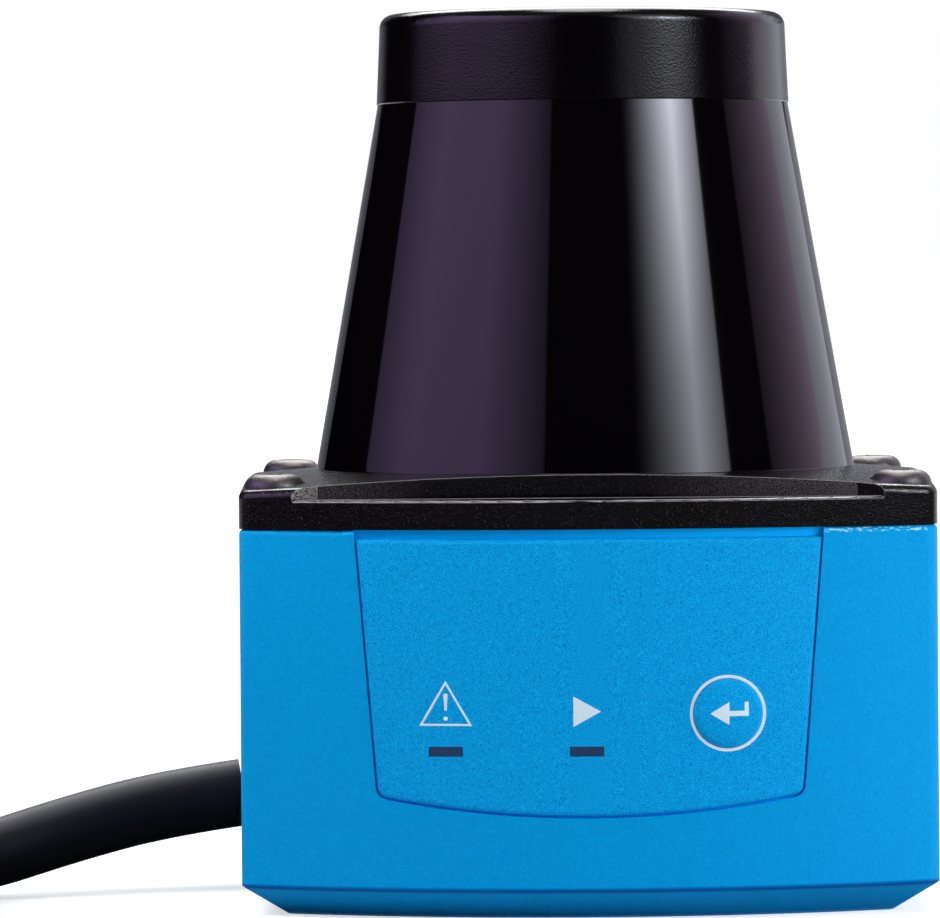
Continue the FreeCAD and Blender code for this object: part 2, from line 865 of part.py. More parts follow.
standoffs = [standoff(f"standoff_{i}", x, y) for i, (x, y) in enumerate(POST_PLACES)]
node("board_standoffs", group("board_standoffs", standoffs))
gland_end = "(half_width - wall - gland_lip - gland_tail)"
header_face = f"wire_bundle_length - {gland_end}"
cable_header = block(
    "cable_header",
    "cable_header_depth",
    "cable_header_width",
    "cable_header_height",
    header_face,
    "gland_y - cable_header_width / 2",
    "board_z - cable_header_height",
)
node("cable_header", cable_header)
wires = rod("wire_harness", "wire_bundle_radius", "wire_bundle_length", header_face, "gland_y", "gland_z",
            UP_TO_LEFT)
node("wire_harness", wires)

# Receiving side: detector on the board, a light-tight cone above it, and the large lens.
detector = turned(
    "detector",
    [
        ("detector_aperture", "detector_height"),
        ("detector_aperture", "detector_height - detector_can_wall"),
        ("detector_can_radius - detector_can_wall", "detector_height - detector_can_wall"),
        ("detector_can_radius - detector_can_wall", "detector_flange_height"),
        ("0", "detector_flange_height"),
        ("0", "0"),
        ("detector_flange_radius", "0"),
        ("detector_flange_radius", "detector_flange_height"),
        ("detector_can_radius", "detector_flange_height"),
        ("detector_can_radius", "detector_height"),
    ],
    z="board_top",
)
node("detector", detector)
node("detector_window", rod("detector_window", "detector_can_radius - detector_can_wall - detector_fit",
                            "detector_glass", "0", "0",
                            "board_top + detector_height - detector_can_wall - detector_glass"))
baffle = turned(
    "receiver_baffle",
    [
        ("baffle_foot_radius - baffle_wall", "0"),
        ("baffle_foot_radius", "0"),
        ("baffle_top_radius", "carrier_z - board_top"),
        ("baffle_top_radius - baffle_wall", "carrier_z - board_top"),
    ],
    z="board_top",
)
flex_z = "(laser_foot - laser_board_thickness / 2)"
slot = sketch(baffle, "YZ_Plane")
slot_low = f"{flex_z} - board_top - flex_thickness - flex_slot_play"
slot_high = f"{flex_z} - board_top + flex_slot_play"
outline(
    slot,
    [
        ("-flex_width / 2 - flex_slot_play", slot_low),
        ("flex_width / 2 + flex_slot_play", slot_low),
        ("flex_width / 2 + flex_slot_play", slot_high),
        ("-flex_width / 2 - flex_slot_play", slot_high),
    ],
)
feature(baffle, "Pocket", slot, Length="flex_reach", Reversed=True)
node("receiver_baffle", baffle)
lens_hole = "laser_tube_radius + laser_fit"
lens_bulge = "((lens_radius - retainer_lip) ^ 2 + lens_crown ^ 2) / (2 * lens_crown)"
lens_hole_top = f"(lens_edge + lens_crown - {lens_bulge} + sqrt(({lens_bulge}) ^ 2 - ({lens_hole}) ^ 2))"
lens = turned(
    "receiver_lens",
    [
        (lens_hole, "0"),
        ("lens_radius", "0"),
        ("lens_radius", "lens_edge"),
        ("lens_radius - retainer_lip", "lens_edge", lens_bulge),
        (lens_hole, lens_hole_top),
    ],
    z="carrier_top",
)
node("receiver_lens", lens)
retainer = turned(
    "lens_retainer",
    [
        ("lens_radius + lens_fit", "0"),
        ("retainer_radius", "0"),
        ("retainer_radius", "lens_edge + lens_fit + retainer_lip_thickness"),
        ("lens_radius - retainer_lip + lens_fit", "lens_edge + lens_fit + retainer_lip_thickness"),
        ("lens_radius - retainer_lip + lens_fit", "lens_edge + lens_fit"),
        ("lens_radius + lens_fit", "lens_edge + lens_fit"),
    ],
    z="carrier_top",
)
node("lens_retainer", retainer)

# Optics carrier: a plate with three light openings, and a rear pillar, in the sensor's blind side,
# that holds the motor plate and its bearing tube over the mirror.
carrier = body("optics_carrier")
feature(
    carrier,
    "Pad",
    outline(
        sketch(carrier),
        [
            ("-board_half", "board_front"),
            ("board_half", "board_front"),
            ("board_half", "board_rear"),
            ("-board_half", "board_rear"),
        ],
    ),
    Length="carrier_thickness",
)


def sector(made, inner, outer, middle, half):
    """Closed ring sector between two radii, about a middle direction in degrees."""
    ends = (f"({middle} - {half})", f"({middle} + {half})")
    corners = []
    for radius, angle, bend in (
        (inner, ends[0], None),
        (outer, ends[0], outer),
        (outer, ends[1], None),
        (inner, ends[1], f"-({inner})"),
    ):
        place = (f"({radius}) * cos({angle})", f"({radius}) * sin({angle})")
        corners.append(place + ((bend,) if bend else ()))
    return outline(made, corners)


opening = sector(sketch(carrier, offset="carrier_thickness"), "hub_radius", "light_radius", "90",
                 "(60 - spoke_half_angle)")
around(carrier, feature(carrier, "Pocket", opening, Length="carrier_thickness"), 3)
carrier_holes = sketch(carrier, offset="carrier_thickness")
circle(carrier_holes, "0", "0", "laser_tube_radius + laser_fit")
for x, y in POST_PLACES:
    circle(carrier_holes, x, y, "carrier_thread + board_hole_play")
flex_back = "(motor_plate_radius + motor_flex_gap)"
outline(
    carrier_holes,
    [
        ("-flex_width / 2 - flex_slot_play", f"{flex_back} - flex_slot_play"),
        ("flex_width / 2 + flex_slot_play", f"{flex_back} - flex_slot_play"),
        ("flex_width / 2 + flex_slot_play", f"{flex_back} + flex_thickness + flex_slot_play"),
        ("-flex_width / 2 - flex_slot_play", f"{flex_back} + flex_thickness + flex_slot_play"),
    ],
)
feature(carrier, "Pocket", carrier_holes, Length="carrier_thickness")
pillar = sector(sketch(carrier, offset="carrier_thickness / 2"), "pillar_inner", "motor_plate_radius", "90",
                "pillar_half_angle")
feature(carrier, "Pad", pillar, Length="motor_seat - carrier_z - carrier_thickness / 2")
motor_plate = circle(sketch(carrier, offset="motor_plate_z - carrier_z"), "0", "0", "motor_plate_radius")
feature(carrier, "Pad", motor_plate, Length="motor_plate_thickness")
shoulder = circle(sketch(carrier, offset="motor_seat - carrier_z"), "0", "0", "shoulder_radius")
feature(carrier, "Pad", shoulder, Length="tube_shoulder_height")
tube = circle(sketch(carrier, offset="motor_seat - carrier_z"), "0", "0", "tube_radius")
feature(carrier, "Pad", tube, Length="tube_rise")
tube_bore = circle(sketch(carrier, offset="motor_seat - carrier_z + tube_rise"), "0", "0",
                   "bearing_radius + bearing_fit")
feature(carrier, "Pocket", tube_bore, Length="tube_rise + motor_plate_thickness")
node("optics_carrier", seat(carrier, z="carrier_z"))
carrier_screws = [
    screw(f"carrier_screw_{i}", "carrier", x, y, "carrier_top") for i, (x, y) in enumerate(POST_PLACES)
]
node("carrier_screws", group("carrier_screws", carrier_screws))

# Sending side: laser and collimator in a tube through the middle of the lens.
tube_bore_radius = "(laser_tube_radius - laser_tube_wall)"
laser_tube = turned(
    "laser_tube",
    [
        (tube_bore_radius, "0"),
        ("laser_tube_radius", "0"),
        ("laser_tube_radius", "laser_tube_drop + carrier_thickness + laser_tube_rise"),
        (tube_bore_radius, "laser_tube_drop + carrier_thickness + laser_tube_rise"),
    ],
    z="laser_foot",
)
node("laser_tube", laser_tube)
glass_radius = f"({tube_bore_radius} - laser_fit)"
glass_bulge = f"({glass_radius} ^ 2 + collimator_crown ^ 2) / (2 * collimator_crown)"
collimator = turned(
    "collimator_lens",
    [
        ("0", "0"),
        (glass_radius, "0"),
        (glass_radius, "collimator_thickness - collimator_crown", glass_bulge),
        ("0", "collimator_thickness"),
    ],
    z="carrier_top + laser_tube_rise - collimator_drop - collimator_thickness",
)
node("collimator_lens", collimator)
diode = turned(
    "laser_diode",
    [
        ("0", "0"),
        (glass_radius, "0"),
        (glass_radius, "diode_flange_height"),
        ("diode_can_radius", "diode_flange_height"),
        ("diode_can_radius", "diode_height"),
        ("0", "diode_height"),
    ],
    z="laser_foot",
)
node("laser_diode", diode)
node("laser_board", rod("laser_board", "laser_board_radius", "laser_board_thickness", "0", "0",
                        "laser_foot - laser_board_thickness"))


def flat_lead(label, plane, corners, **place):
    """Flat flexible lead: the outline of its folded edge, as wide as the leads are."""
    made = body(label)
    feature(made, "Pad", outline(sketch(made, plane), corners), Length="flex_width", Midplane=True)
    return seat(made, **place)


lead_drop = f"({flex_z} - board_top)"
laser_flex = flat_lead(
    "laser_flex",
    "XZ_Plane",
    [
        ("laser_board_radius", f"{lead_drop} - flex_thickness"),
        ("flex_reach - flex_thickness", f"{lead_drop} - flex_thickness"),
        ("flex_reach - flex_thickness", "0"),
        ("flex_reach", "0"),
        ("flex_reach", lead_drop),
        ("laser_board_radius", lead_drop),
    ],
    z="board_top",
)
node("laser_flex", laser_flex)
lead_rise = "(motor_seat - board_top)"
motor_flex = flat_lead(
    "motor_flex",
    "YZ_Plane",
    [
        (flex_back, "0"),
        (f"{flex_back} + flex_thickness", "0"),
        (f"{flex_back} + flex_thickness", f"{lead_rise} + flex_thickness"),
        ("shoulder_radius", f"{lead_rise} + flex_thickness"),
        ("shoulder_radius", lead_rise),
        (flex_back, lead_rise),
    ],
    z="board_top",
)
node("motor_flex", motor_flex)

# Motor: bearings in the tube, a nine-tooth stator round it, and its coils.
bearing_places = ("motor_plate_z", "motor_seat + tube_rise - bearing_width")
bearings = [
    turned(
        f"bearing_{i}",
        [
            ("shaft_radius + shaft_play", "0"),
            ("bearing_radius", "0"),
            ("bearing_radius", "bearing_width"),
            ("shaft_radius + shaft_play", "bearing_width"),
        ],
        z=z,
    )
    for i, z in enumerate(bearing_places)
]
node("motor_bearings", group("motor_bearings", bearings))
stator = body("motor_stator")
core = circle(sketch(stator), "0", "0", "tube_radius + bearing_fit + stator_core")
circle(core, "0", "0", "tube_radius + bearing_fit")
feature(stator, "Pad", core, Length="stator_height")
tooth = sketch(stator)
tooth_root = "(tube_radius + bearing_fit + stator_core / 2)"
shoe_root = "(stator_radius - shoe_thickness)"
shoe_edge = "sqrt(stator_radius ^ 2 - (shoe_width / 2) ^ 2)"
outline(
    tooth,
    [
        (tooth_root, "-tooth_width / 2"),
        (shoe_root, "-tooth_width / 2"),
        (shoe_root, "-shoe_width / 2"),
        (shoe_edge, "-shoe_width / 2", "stator_radius"),
        (shoe_edge, "shoe_width / 2"),
        (shoe_root, "shoe_width / 2"),
        (shoe_root, "tooth_width / 2"),
        (tooth_root, "tooth_width / 2"),
    ],
)
around(stator, feature(stator, "Pad", tooth, Length="stator_height"), "tooth_count")
stator_z = "(motor_seat + tube_shoulder_height)"
node("motor_stator", seat(stator, z=stator_z))


def winding(number):
    """Rectangular coil round one tooth, between the stator's ring and the tooth's shoe."""
    made = body(f"winding_{number}")
    inside = "(tooth_width / 2 + coil_play)"
    low = "-coil_play"
    high = "stator_height + coil_play"
    loops = sketch(made, "YZ_Plane", "tube_radius + bearing_fit + stator_core + coil_play")
    for grow in ("coil_thickness", "0"):
        outline(
            loops,
            [
                (f"-{inside} - {grow}", f"{low} - {grow}"),
                (f"{inside} + {grow}", f"{low} - {grow}"),
                (f"{inside} + {grow}", f"{high} + {grow}"),
                (f"-{inside} - {grow}", f"{high} + {grow}"),
            ],
        )
    room = f"{shoe_root} - tube_radius - bearing_fit - stator_core - 2 * coil_play"
    feature(made, "Pad", loops, Length=room)
    return seat(made, z=stator_z, turn=FreeCAD.Rotation(V(0, 0, 1), 360 * number / measure("tooth_count")))


node("stator_coils", group("stator_coils", [winding(i) for i in range(int(measure("tooth_count")))]))

# Rotor: shaft, bell with its ring magnet, mirror on its slanted carrier, and the encoder disc.
bell = turned(
    "rotor_bell",
    [
        ("shaft_radius", "motor_height - bell_wall - bell_hub_length"),
        ("bell_hub_radius", "motor_height - bell_wall - bell_hub_length"),
        ("bell_hub_radius", "motor_height - bell_wall"),
        ("bell_radius - bell_wall", "motor_height - bell_wall"),
        ("bell_radius - bell_wall", "bell_foot_gap"),
        ("bell_radius", "bell_foot_gap"),
        ("bell_radius", "motor_height"),
        ("shaft_radius", "motor_height"),
    ],
    z="motor_seat",
)
node("rotor_bell", bell)
magnet = turned(
    "rotor_magnet",
    [
        ("magnet_radius - magnet_thickness", "0"),
        ("magnet_radius", "0"),
        ("magnet_radius", "magnet_height"),
        ("magnet_radius - magnet_thickness", "magnet_height"),
    ],
    z="motor_seat + bell_foot_gap",
)
node("rotor_magnet", magnet)
shaft_foot = "(motor_plate_z - shaft_drop)"
shaft = rod("rotor_shaft", "shaft_radius", f"motor_seat + motor_height - {shaft_foot}", "0", "0", shaft_foot)
node("rotor_shaft", shaft)


def below_mirror(made, lift):
    """Triangle under a plane at 45 degrees, through a point on the axis."""
    reach = "(mirror_radius + mirror_thickness * 2)"
    return outline(
        sketch(made, "YZ_Plane"),
        [
            (f"-{reach}", f"{lift} - {reach}"),
            (reach, f"{lift} - {reach}"),
            (f"-{reach}", f"{lift} + {reach}"),
        ],
    )


mirror_carrier = body("mirror_carrier")
drum = circle(sketch(mirror_carrier, offset="-mirror_radius"), "0", "0", "mirror_radius")
feature(mirror_carrier, "Pad", drum, Length="rotor_top - mirror_z + mirror_radius")
slant = below_mirror(mirror_carrier, "0")
feature(mirror_carrier, "Pocket", slant, Length="mirror_radius * 3", Midplane=True)
hub = circle(sketch(mirror_carrier, offset="mirror_radius"), "0", "0", "disc_hub_radius")
feature(mirror_carrier, "Pad", hub, Length="rotor_crown + disc_thickness + disc_gap / 2")
shaft_hole = circle(sketch(mirror_carrier, offset="motor_plate_z - mirror_z"), "0", "0", "shaft_radius")
feature(mirror_carrier, "Pocket", shaft_hole, Length="shaft_drop")
node("mirror_carrier", seat(mirror_carrier, z="mirror_z"))
mirror = body("scan_mirror")
glass = "mirror_thickness * sqrt(2)"
bar = circle(sketch(mirror, offset=f"-mirror_radius - {glass}"), "0", "0", "mirror_radius")
feature(mirror, "Pad", bar, Length=f"mirror_radius * 2 + {glass}")
feature(mirror, "Pocket", below_mirror(mirror, f"-{glass}"), Length="mirror_radius * 3", Midplane=True)
above = outline(
    sketch(mirror, "YZ_Plane"),
    [
        ("mirror_radius * 2", "-mirror_radius * 2"),
        ("mirror_radius * 2", "mirror_radius * 2"),
        ("-mirror_radius * 2", "mirror_radius * 2"),
    ],
)
feature(mirror, "Pocket", above, Length="mirror_radius * 3", Midplane=True)
node("scan_mirror", seat(mirror, z="mirror_z"))
disc = turned(
    "encoder_disc",
    [
        ("disc_hub_radius + disc_play", "0"),
        ("disc_radius", "0"),
        ("disc_radius", "disc_thickness"),
        ("disc_hub_radius + disc_play", "disc_thickness"),
    ],
    z="rotor_top",
)
node("encoder_disc", disc)
fork = body("encoder_sensor")
tip = "(mirror_radius + fork_tip_gap)"
heel = "(disc_radius + fork_gap + fork_back)"
fork_low = "-disc_gap - disc_thickness - fork_gap"
feature(
    fork,
    "Pad",
    outline(
        sketch(fork, "YZ_Plane"),
        [
            (tip, f"{fork_low} - fork_jaw"),
            (heel, f"{fork_low} - fork_jaw"),
            (heel, "0"),
            (tip, "0"),
            (tip, "fork_gap - disc_gap"),
            ("disc_radius + fork_gap", "fork_gap - disc_gap"),
            ("disc_radius + fork_gap", fork_low),
            (tip, fork_low),
        ],
    ),
    Length="fork_width",
    Midplane=True,
)
node("encoder_sensor", seat(fork, z="motor_plate_z"))

# Seal in the rebate of the housing's rim.
gasket = body("hood_gasket")
ring = outline(sketch(gasket), chamber_plan("gasket_width - gasket_play"))
outline(ring, chamber_plan("gasket_play"))
feature(gasket, "Pad", ring, Length="gasket_thickness")
node("hood_gasket", seat(gasket, z="housing_height - gasket_thickness"))

# Hood: flange with a domed top, a stepped front edge and sunk screw seats, then the cone that the
# beam passes through, and the cap. A spigot below the flange finds its place in the housing.
hood = body("optical_hood")
feature(hood, "Pad", outline(sketch(hood), outer_plan()), Length="flange_apex")
rounded(hood, "corner_round", lambda middle, way: abs(way.z) > 1)
dome_edge = "(flange_apex - dome_radius + sqrt(dome_radius ^ 2 - housing_width ^ 2))"
over_dome = outline(
    sketch(hood, "XZ_Plane"),
    [
        ("0", "flange_apex", "-dome_radius"),
        ("housing_width", dome_edge),
        ("housing_width", "flange_apex * 2"),
        ("0", "flange_apex * 2"),
    ],
)
feature(hood, "Groove", over_dome)
rounded(hood, "flange_edge_round", lambda middle, way: middle.z > 0.1 and abs(way.z) < 1.5)
cap_radius = "(cone_top_radius + cap_step)"
cap_top = "(cone_height + cap_height)"
cone = outline(
    sketch(hood, "XZ_Plane"),
    [
        ("0", "0"),
        ("cone_base_radius", "0"),
        ("cone_top_radius", "cone_height"),
        (cap_radius, "cone_height"),
        (f"{cap_radius} - cap_draft", f"{cap_top} - cap_round", "cap_round"),
        (f"{cap_radius} - cap_draft - cap_round", cap_top),
        ("0", cap_top),
    ],
)
feature(hood, "Revolution", cone)
ledge_wall = "(ledge_depth - housing_depth / 2)"
mouth = front_at("ledge_mouth_width / 2")
step = sketch(hood, offset="flange_apex")
outline(
    step,
    [
        ("ledge_wall_width / 2", ledge_wall),
        ("-ledge_wall_width / 2", ledge_wall),
        ("-ledge_mouth_width + ledge_wall_width / 2", f"2 * {mouth} - {ledge_wall}"),
        ("-ledge_mouth_width + ledge_wall_width / 2", "-housing_depth"),
        ("ledge_mouth_width - ledge_wall_width / 2", "-housing_depth"),
        ("ledge_mouth_width - ledge_wall_width / 2", f"2 * {mouth} - {ledge_wall}"),
    ],
)
feature(hood, "Pocket", step, Length="flange_apex - ledge_height")
ledge_top = measure("ledge_height")
ledge_front = measure(front_at("ledge_mouth_width / 2"))
rounded(
    hood,
    "ledge_edge_round",
    lambda middle, way: abs(middle.z - ledge_top) < 1e-3 and middle.y < ledge_front - 1,
)
inside = outline(
    sketch(hood, "XZ_Plane"),
    [
        ("0", "-spigot_height"),
        ("inner_base", "-spigot_height"),
        ("inner_base", "0"),
        ("inner_top", "cone_height"),
        ("inner_top", "ceiling"),
        ("0", "ceiling"),
    ],
)
feature(hood, "Groove", inside)
seats = sketch(hood, offset="flange_apex")
holes = sketch(hood, offset="flange_apex")
for x, y in SCREW_PLACES:
    circle(seats, x, y, "flange_head + spot_face_play")
    circle(holes, x, y, "flange_hole")
feature(hood, "Pocket", seats, Length="flange_apex - spot_face_height")
feature(hood, "Pocket", holes, Length="flange_apex")
spigot = outline(sketch(hood), chamber_plan("-spigot_play"))
outline(spigot, chamber_plan("-spigot_play - spigot_wall"))
feature(hood, "Pad", spigot, Length="spigot_height", Reversed=True)
node("optical_hood", seat(hood, z="housing_height"))
flange_screws = [
    screw(f"flange_screw_{i}", "flange", x, y, "housing_height + spot_face_height")
    for i, (x, y) in enumerate(SCREW_PLACES)
]
node("flange_screws", group("flange_screws", flange_screws))

# Cable gland in the left wall: rim outside, neck through the wall, lip and tail inside.
gland = turned(
    "cable_gland",
    [
        ("0", "0"),
        ("gland_rim", "0"),
        ("gland_rim", "-gland_rim_thickness"),
        ("gland_neck", "-gland_rim_thickness"),
        ("gland_neck", "-gland_rim_thickness - wall"),
        ("gland_rim", "-gland_rim_thickness - wall"),
        ("gland_rim", "-gland_rim_thickness - wall - gland_lip"),
        ("cable_diameter / 2", "-gland_rim_thickness - wall - gland_lip"),
        ("cable_diameter / 2", "-gland_rim_thickness - wall - gland_lip - gland_tail"),
        ("0", "-gland_rim_thickness - wall - gland_lip - gland_tail"),
    ],
    x="-gland_face",
    y="gland_y",
    z="gland_z",
    turn=UP_TO_LEFT,
)
node("cable_gland", gland)

# Cable: it leaves the gland to the left, comes down to the floor and runs into a tied coil. Its end
# leaves the top of the coil, crosses over the first run and turns back to the plug on the floor.
# Points of its line, chosen by hand.
COIL_MIDDLE = V(-90.0, -40.0, 0)
CABLE_ROUTE = [
    V(-30.8, 2.0, 8.85),
    V(-37.5, 1.5, 7.95),
    V(-45.5, -0.6, 6.05),
    V(-55.5, -4.1, 3.05),
    V(-66.0, -5.9, 3.05),
    V(-77.0, -5.4, 3.5),
]
TAIL_ROUTE = [
    V(-55.6, -28.5, 9.7),
    V(-58.5, -13.1, 11.0),
    V(-69.3, 1.2, 10.4),
    V(-85.7, 8.2, 7.9),
    V(-100.5, 9.5, 7.5),
]


def cord_tube(label, route):
    """Round cord along straight runs, joined by tangent arcs as large as the runs allow."""
    edges = []
    start = route[0]
    radii = []
    for before, here, after in zip(route, route[1:], route[2:]):
        back = (before - here).normalize()
        ahead = (after - here).normalize()
        half_turn = (math.pi - back.getAngle(ahead)) / 2
        reach = 0.45 * min(before.distanceToPoint(here), here.distanceToPoint(after))
        radius = reach / math.tan(half_turn)
        inward = (back + ahead).normalize()
        bend = Part.Arc(
            here + back * reach,
            here + inward * (radius / math.cos(half_turn) - radius),
            here + ahead * reach,
        )
        edges += [Part.LineSegment(start, here + back * reach).toShape(), bend.toShape()]
        start = here + ahead * reach
        radii.append(round(radius, 1))
    edges.append(Part.LineSegment(start, route[-1]).toShape())
    path = Part.Wire(edges)
    thick = measure("cable_diameter / 2")
    ring = Part.Wire(Part.Circle(route[0], route[1] - route[0], thick).toShape())
    made = doc.addObject("Part::Feature", label)
    made.Shape = path.makePipeShell([ring], True, False)
    ideal = math.pi * thick**2 * path.Length
    print(label, "bend radii", radii, "length", round(path.Length, 1),
          "volume over section times length", round(made.Shape.Volume / ideal, 4))
    return made


node("cable", cord_tube("cable", CABLE_ROUTE))
node("cable_tail", cord_tube("cable_tail", TAIL_ROUTE))
coil_place = dict(x=COIL_MIDDLE.x, y=COIL_MIDDLE.y, z="tie_thickness")
coil = turned(
    "cable_coil",
    [
        ("coil_inner_radius", "0"),
        ("coil_outer_radius", "0"),
        ("coil_outer_radius", "coil_height"),
        ("coil_inner_radius", "coil_height"),
    ],
    **coil_place,
)
node("cable_coil", coil)
tie = body("coil_tie")
strap = sketch(tie, "YZ_Plane")
strap_in = "sqrt(coil_inner_radius ^ 2 - (tie_width / 2) ^ 2) - tie_play"
strap_out = "coil_outer_radius + tie_play"
for grow in ("tie_thickness", "0"):
    outline(
        strap,
        [
            (f"-({strap_out}) - {grow}", f"-{grow}"),
            (f"-({strap_in}) + {grow}", f"-{grow}"),
            (f"-({strap_in}) + {grow}", f"coil_height + tie_play + {grow}"),
            (f"-({strap_out}) - {grow}", f"coil_height + tie_play + {grow}"),
        ],
    )
feature(tie, "Pad", strap, Length="tie_width", Midplane=True)
node("coil_tie", seat(tie, **coil_place))

# Plug on the floor: moulded backshell with its boot, metal shell, insulator, pins and thumbscrews.
# Each piece is drawn with its back towards +Y and its middle at the front face of the backshell.
tail_way = TAIL_ROUTE[-1] - TAIL_ROUTE[-2]
PLUG_TURN = FreeCAD.Rotation(V(0, 0, 1), math.degrees(math.atan2(-tail_way.x, tail_way.y)) + 180)
PLUG_BACK = TAIL_ROUTE[-1]


def on_plug(thing):
    """Line a piece of the plug up with the end of the cable."""
    depth = measure("plug_flange_depth + plug_body_depth + plug_neck_depth + boot_length")
    place = FreeCAD.Placement(PLUG_BACK - PLUG_TURN.multVec(V(0, depth, 0)), PLUG_TURN)
    thing.Placement = place.multiply(thing.Placement)
    return thing


backshell = body("plug_body")
neck = "(plug_flange_depth + plug_body_depth + plug_neck_depth)"
half_plan = [
    ("plug_width / 2", "0"),
    ("plug_width / 2", "plug_flange_depth"),
    ("plug_waist / 2", "plug_flange_depth"),
    ("plug_waist / 2", "plug_flange_depth + plug_body_depth"),
    ("plug_neck_width / 2", neck),
]
plug_plan = half_plan + [(f"-{x}", y) for x, y in reversed(half_plan)]
feature(backshell, "Pad", outline(sketch(backshell), plug_plan), Length="plug_thickness", Midplane=True)
rounded(backshell, "plug_round", lambda middle, way: middle.y > 1 and abs(middle.z) > 1 and abs(way.z) < 1)
boot = outline(
    sketch(backshell),
    [
        ("0", f"{neck} - boot_length / 2"),
        ("boot_radius + 1", f"{neck} - boot_length / 2"),
        ("boot_radius", f"{neck} + boot_length"),
        ("0", f"{neck} + boot_length"),
    ],
)
feature(backshell, "Revolution", boot)
screw_ways = sketch(backshell, "XZ_Plane")
for side in SIDES:
    circle(screw_ways, f"{side}thumbscrew_x", "0", "thumbscrew_radius + thumbscrew_play")
feature(backshell, "Pocket", screw_ways, Length="plug_flange_depth")
node("plug_body", on_plug(backshell))


def connector_face(made, grow):
    """The keyed outline of the connector, wider above than below."""
    wide = f"(shell_width / 2 + {grow})"
    narrow = f"(shell_width / 2 - shell_slant + {grow})"
    high = f"(shell_height / 2 + {grow})"
    corners = [(f"-{narrow}", f"-{high}"), (narrow, f"-{high}"), (wide, high), (f"-{wide}", high)]
    return outline(made, corners)


shell = body("plug_collar")
plate_face = sketch(shell, "XZ_Plane")
outline(
    plate_face,
    [
        ("-plug_width / 2", "-shell_flange_height / 2"),
        ("plug_width / 2", "-shell_flange_height / 2"),
        ("plug_width / 2", "shell_flange_height / 2"),
        ("-plug_width / 2", "shell_flange_height / 2"),
    ],
)
connector_face(plate_face, "-shell_wall")
for side in SIDES:
    circle(plate_face, f"{side}thumbscrew_x", "0", "thumbscrew_radius + thumbscrew_play")
feature(shell, "Pad", plate_face, Length="shell_flange_thickness")
skirt = sketch(shell, "XZ_Plane")
connector_face(skirt, "0")
connector_face(skirt, "-shell_wall")
feature(shell, "Pad", skirt, Length="shell_flange_thickness + shell_length")
node("plug_collar", on_plug(shell))
insert = body("plug_insert")
feature(insert, "Pad", connector_face(sketch(insert, "XZ_Plane"), "-shell_wall - insert_play"),
        Length="insert_depth")
node("plug_insert", on_plug(insert))
ROWS = (1, 0, -1)
PINS_IN_ROW = 5
pins = []
for row in ROWS:
    for place in range(PINS_IN_ROW):
        across = f"pin_pitch * ({place} - ({PINS_IN_ROW} - 1) / 2 + {row} / 4)"
        contact = rod(f"pin_{row + 1}_{place}", "pin_radius", "pin_length", across, "-insert_depth",
                      f"pin_row * {row}", UP_TO_FRONT)
        pins.append(contact)
node("plug_pins", on_plug(group("plug_pins", pins)))
knob_start = "plug_flange_depth + thumbscrew_gap"
thumbscrews = [
    turned(
        f"thumbscrew_{i}",
        [
            ("0", "-thumbscrew_reach"),
            ("thumbscrew_radius", "-thumbscrew_reach"),
            ("thumbscrew_radius", knob_start),
            ("thumbscrew_knob", knob_start),
            ("thumbscrew_knob", f"{knob_start} + thumbscrew_knob_length"),
            ("0", f"{knob_start} + thumbscrew_knob_length"),
        ],
        x=f"{side}thumbscrew_x",
        turn=UP_TO_BACK,
    )
    for i, side in enumerate(SIDES)
]
node("plug_thumbscrews", on_plug(group("plug_thumbscrews", thumbscrews)))

doc.recompute()
faults = [f"{item.Label}: {item.State}" for item in doc.Objects if {"Invalid", "Error"} & set(item.State)]
faults += [f"{label}: no valid shape" for label, thing in nodes.items()
           if thing.Shape.isNull() or not thing.Shape.isValid() or not thing.Shape.Solids]
if faults:
    raise RuntimeError("; ".join(faults))
os.makedirs("parts", exist_ok=True)
for label, thing in nodes.items():
    thing.Shape.exportStep(f"parts/{label}.step")
print(len(nodes), "sub-parts written")
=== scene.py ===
from math import asin, atan2, cos, pi, radians, sin, sqrt, tan

import bmesh
import bpy
from mathutils import Matrix, Vector


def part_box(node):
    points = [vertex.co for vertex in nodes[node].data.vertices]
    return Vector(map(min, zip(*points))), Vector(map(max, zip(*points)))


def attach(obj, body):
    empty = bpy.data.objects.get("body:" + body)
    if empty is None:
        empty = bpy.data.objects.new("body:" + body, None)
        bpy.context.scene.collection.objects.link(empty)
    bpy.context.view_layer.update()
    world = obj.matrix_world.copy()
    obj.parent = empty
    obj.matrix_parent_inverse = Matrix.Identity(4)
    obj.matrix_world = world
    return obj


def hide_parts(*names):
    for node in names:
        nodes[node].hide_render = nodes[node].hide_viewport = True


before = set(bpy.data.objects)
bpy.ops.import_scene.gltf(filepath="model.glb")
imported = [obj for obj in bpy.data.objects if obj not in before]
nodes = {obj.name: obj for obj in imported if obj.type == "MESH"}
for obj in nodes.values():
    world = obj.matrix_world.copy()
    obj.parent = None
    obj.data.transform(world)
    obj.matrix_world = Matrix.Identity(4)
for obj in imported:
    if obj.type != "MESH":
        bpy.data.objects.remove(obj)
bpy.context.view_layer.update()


# Housing: a die-cast box with a bevelled foot and a bowed front, powder-coated in light blue.
# The coat has a fine, even grain. The hood closes the box, and its walls hold the panel and the cable.
mm = 0.001
housing_low, housing_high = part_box("housing")
FRONT_BULGE = 7.1 * mm
front_radius = (housing_high.x**2 + FRONT_BULGE**2) / (2 * FRONT_BULGE)
front_axis = housing_low.y + front_radius


def feed(tree, source, socket):
    """Set a socket to a plain number, or link it to another node's output."""
    if isinstance(source, bpy.types.NodeSocket):
        tree.links.new(source, socket)
    else:
        socket.default_value = source


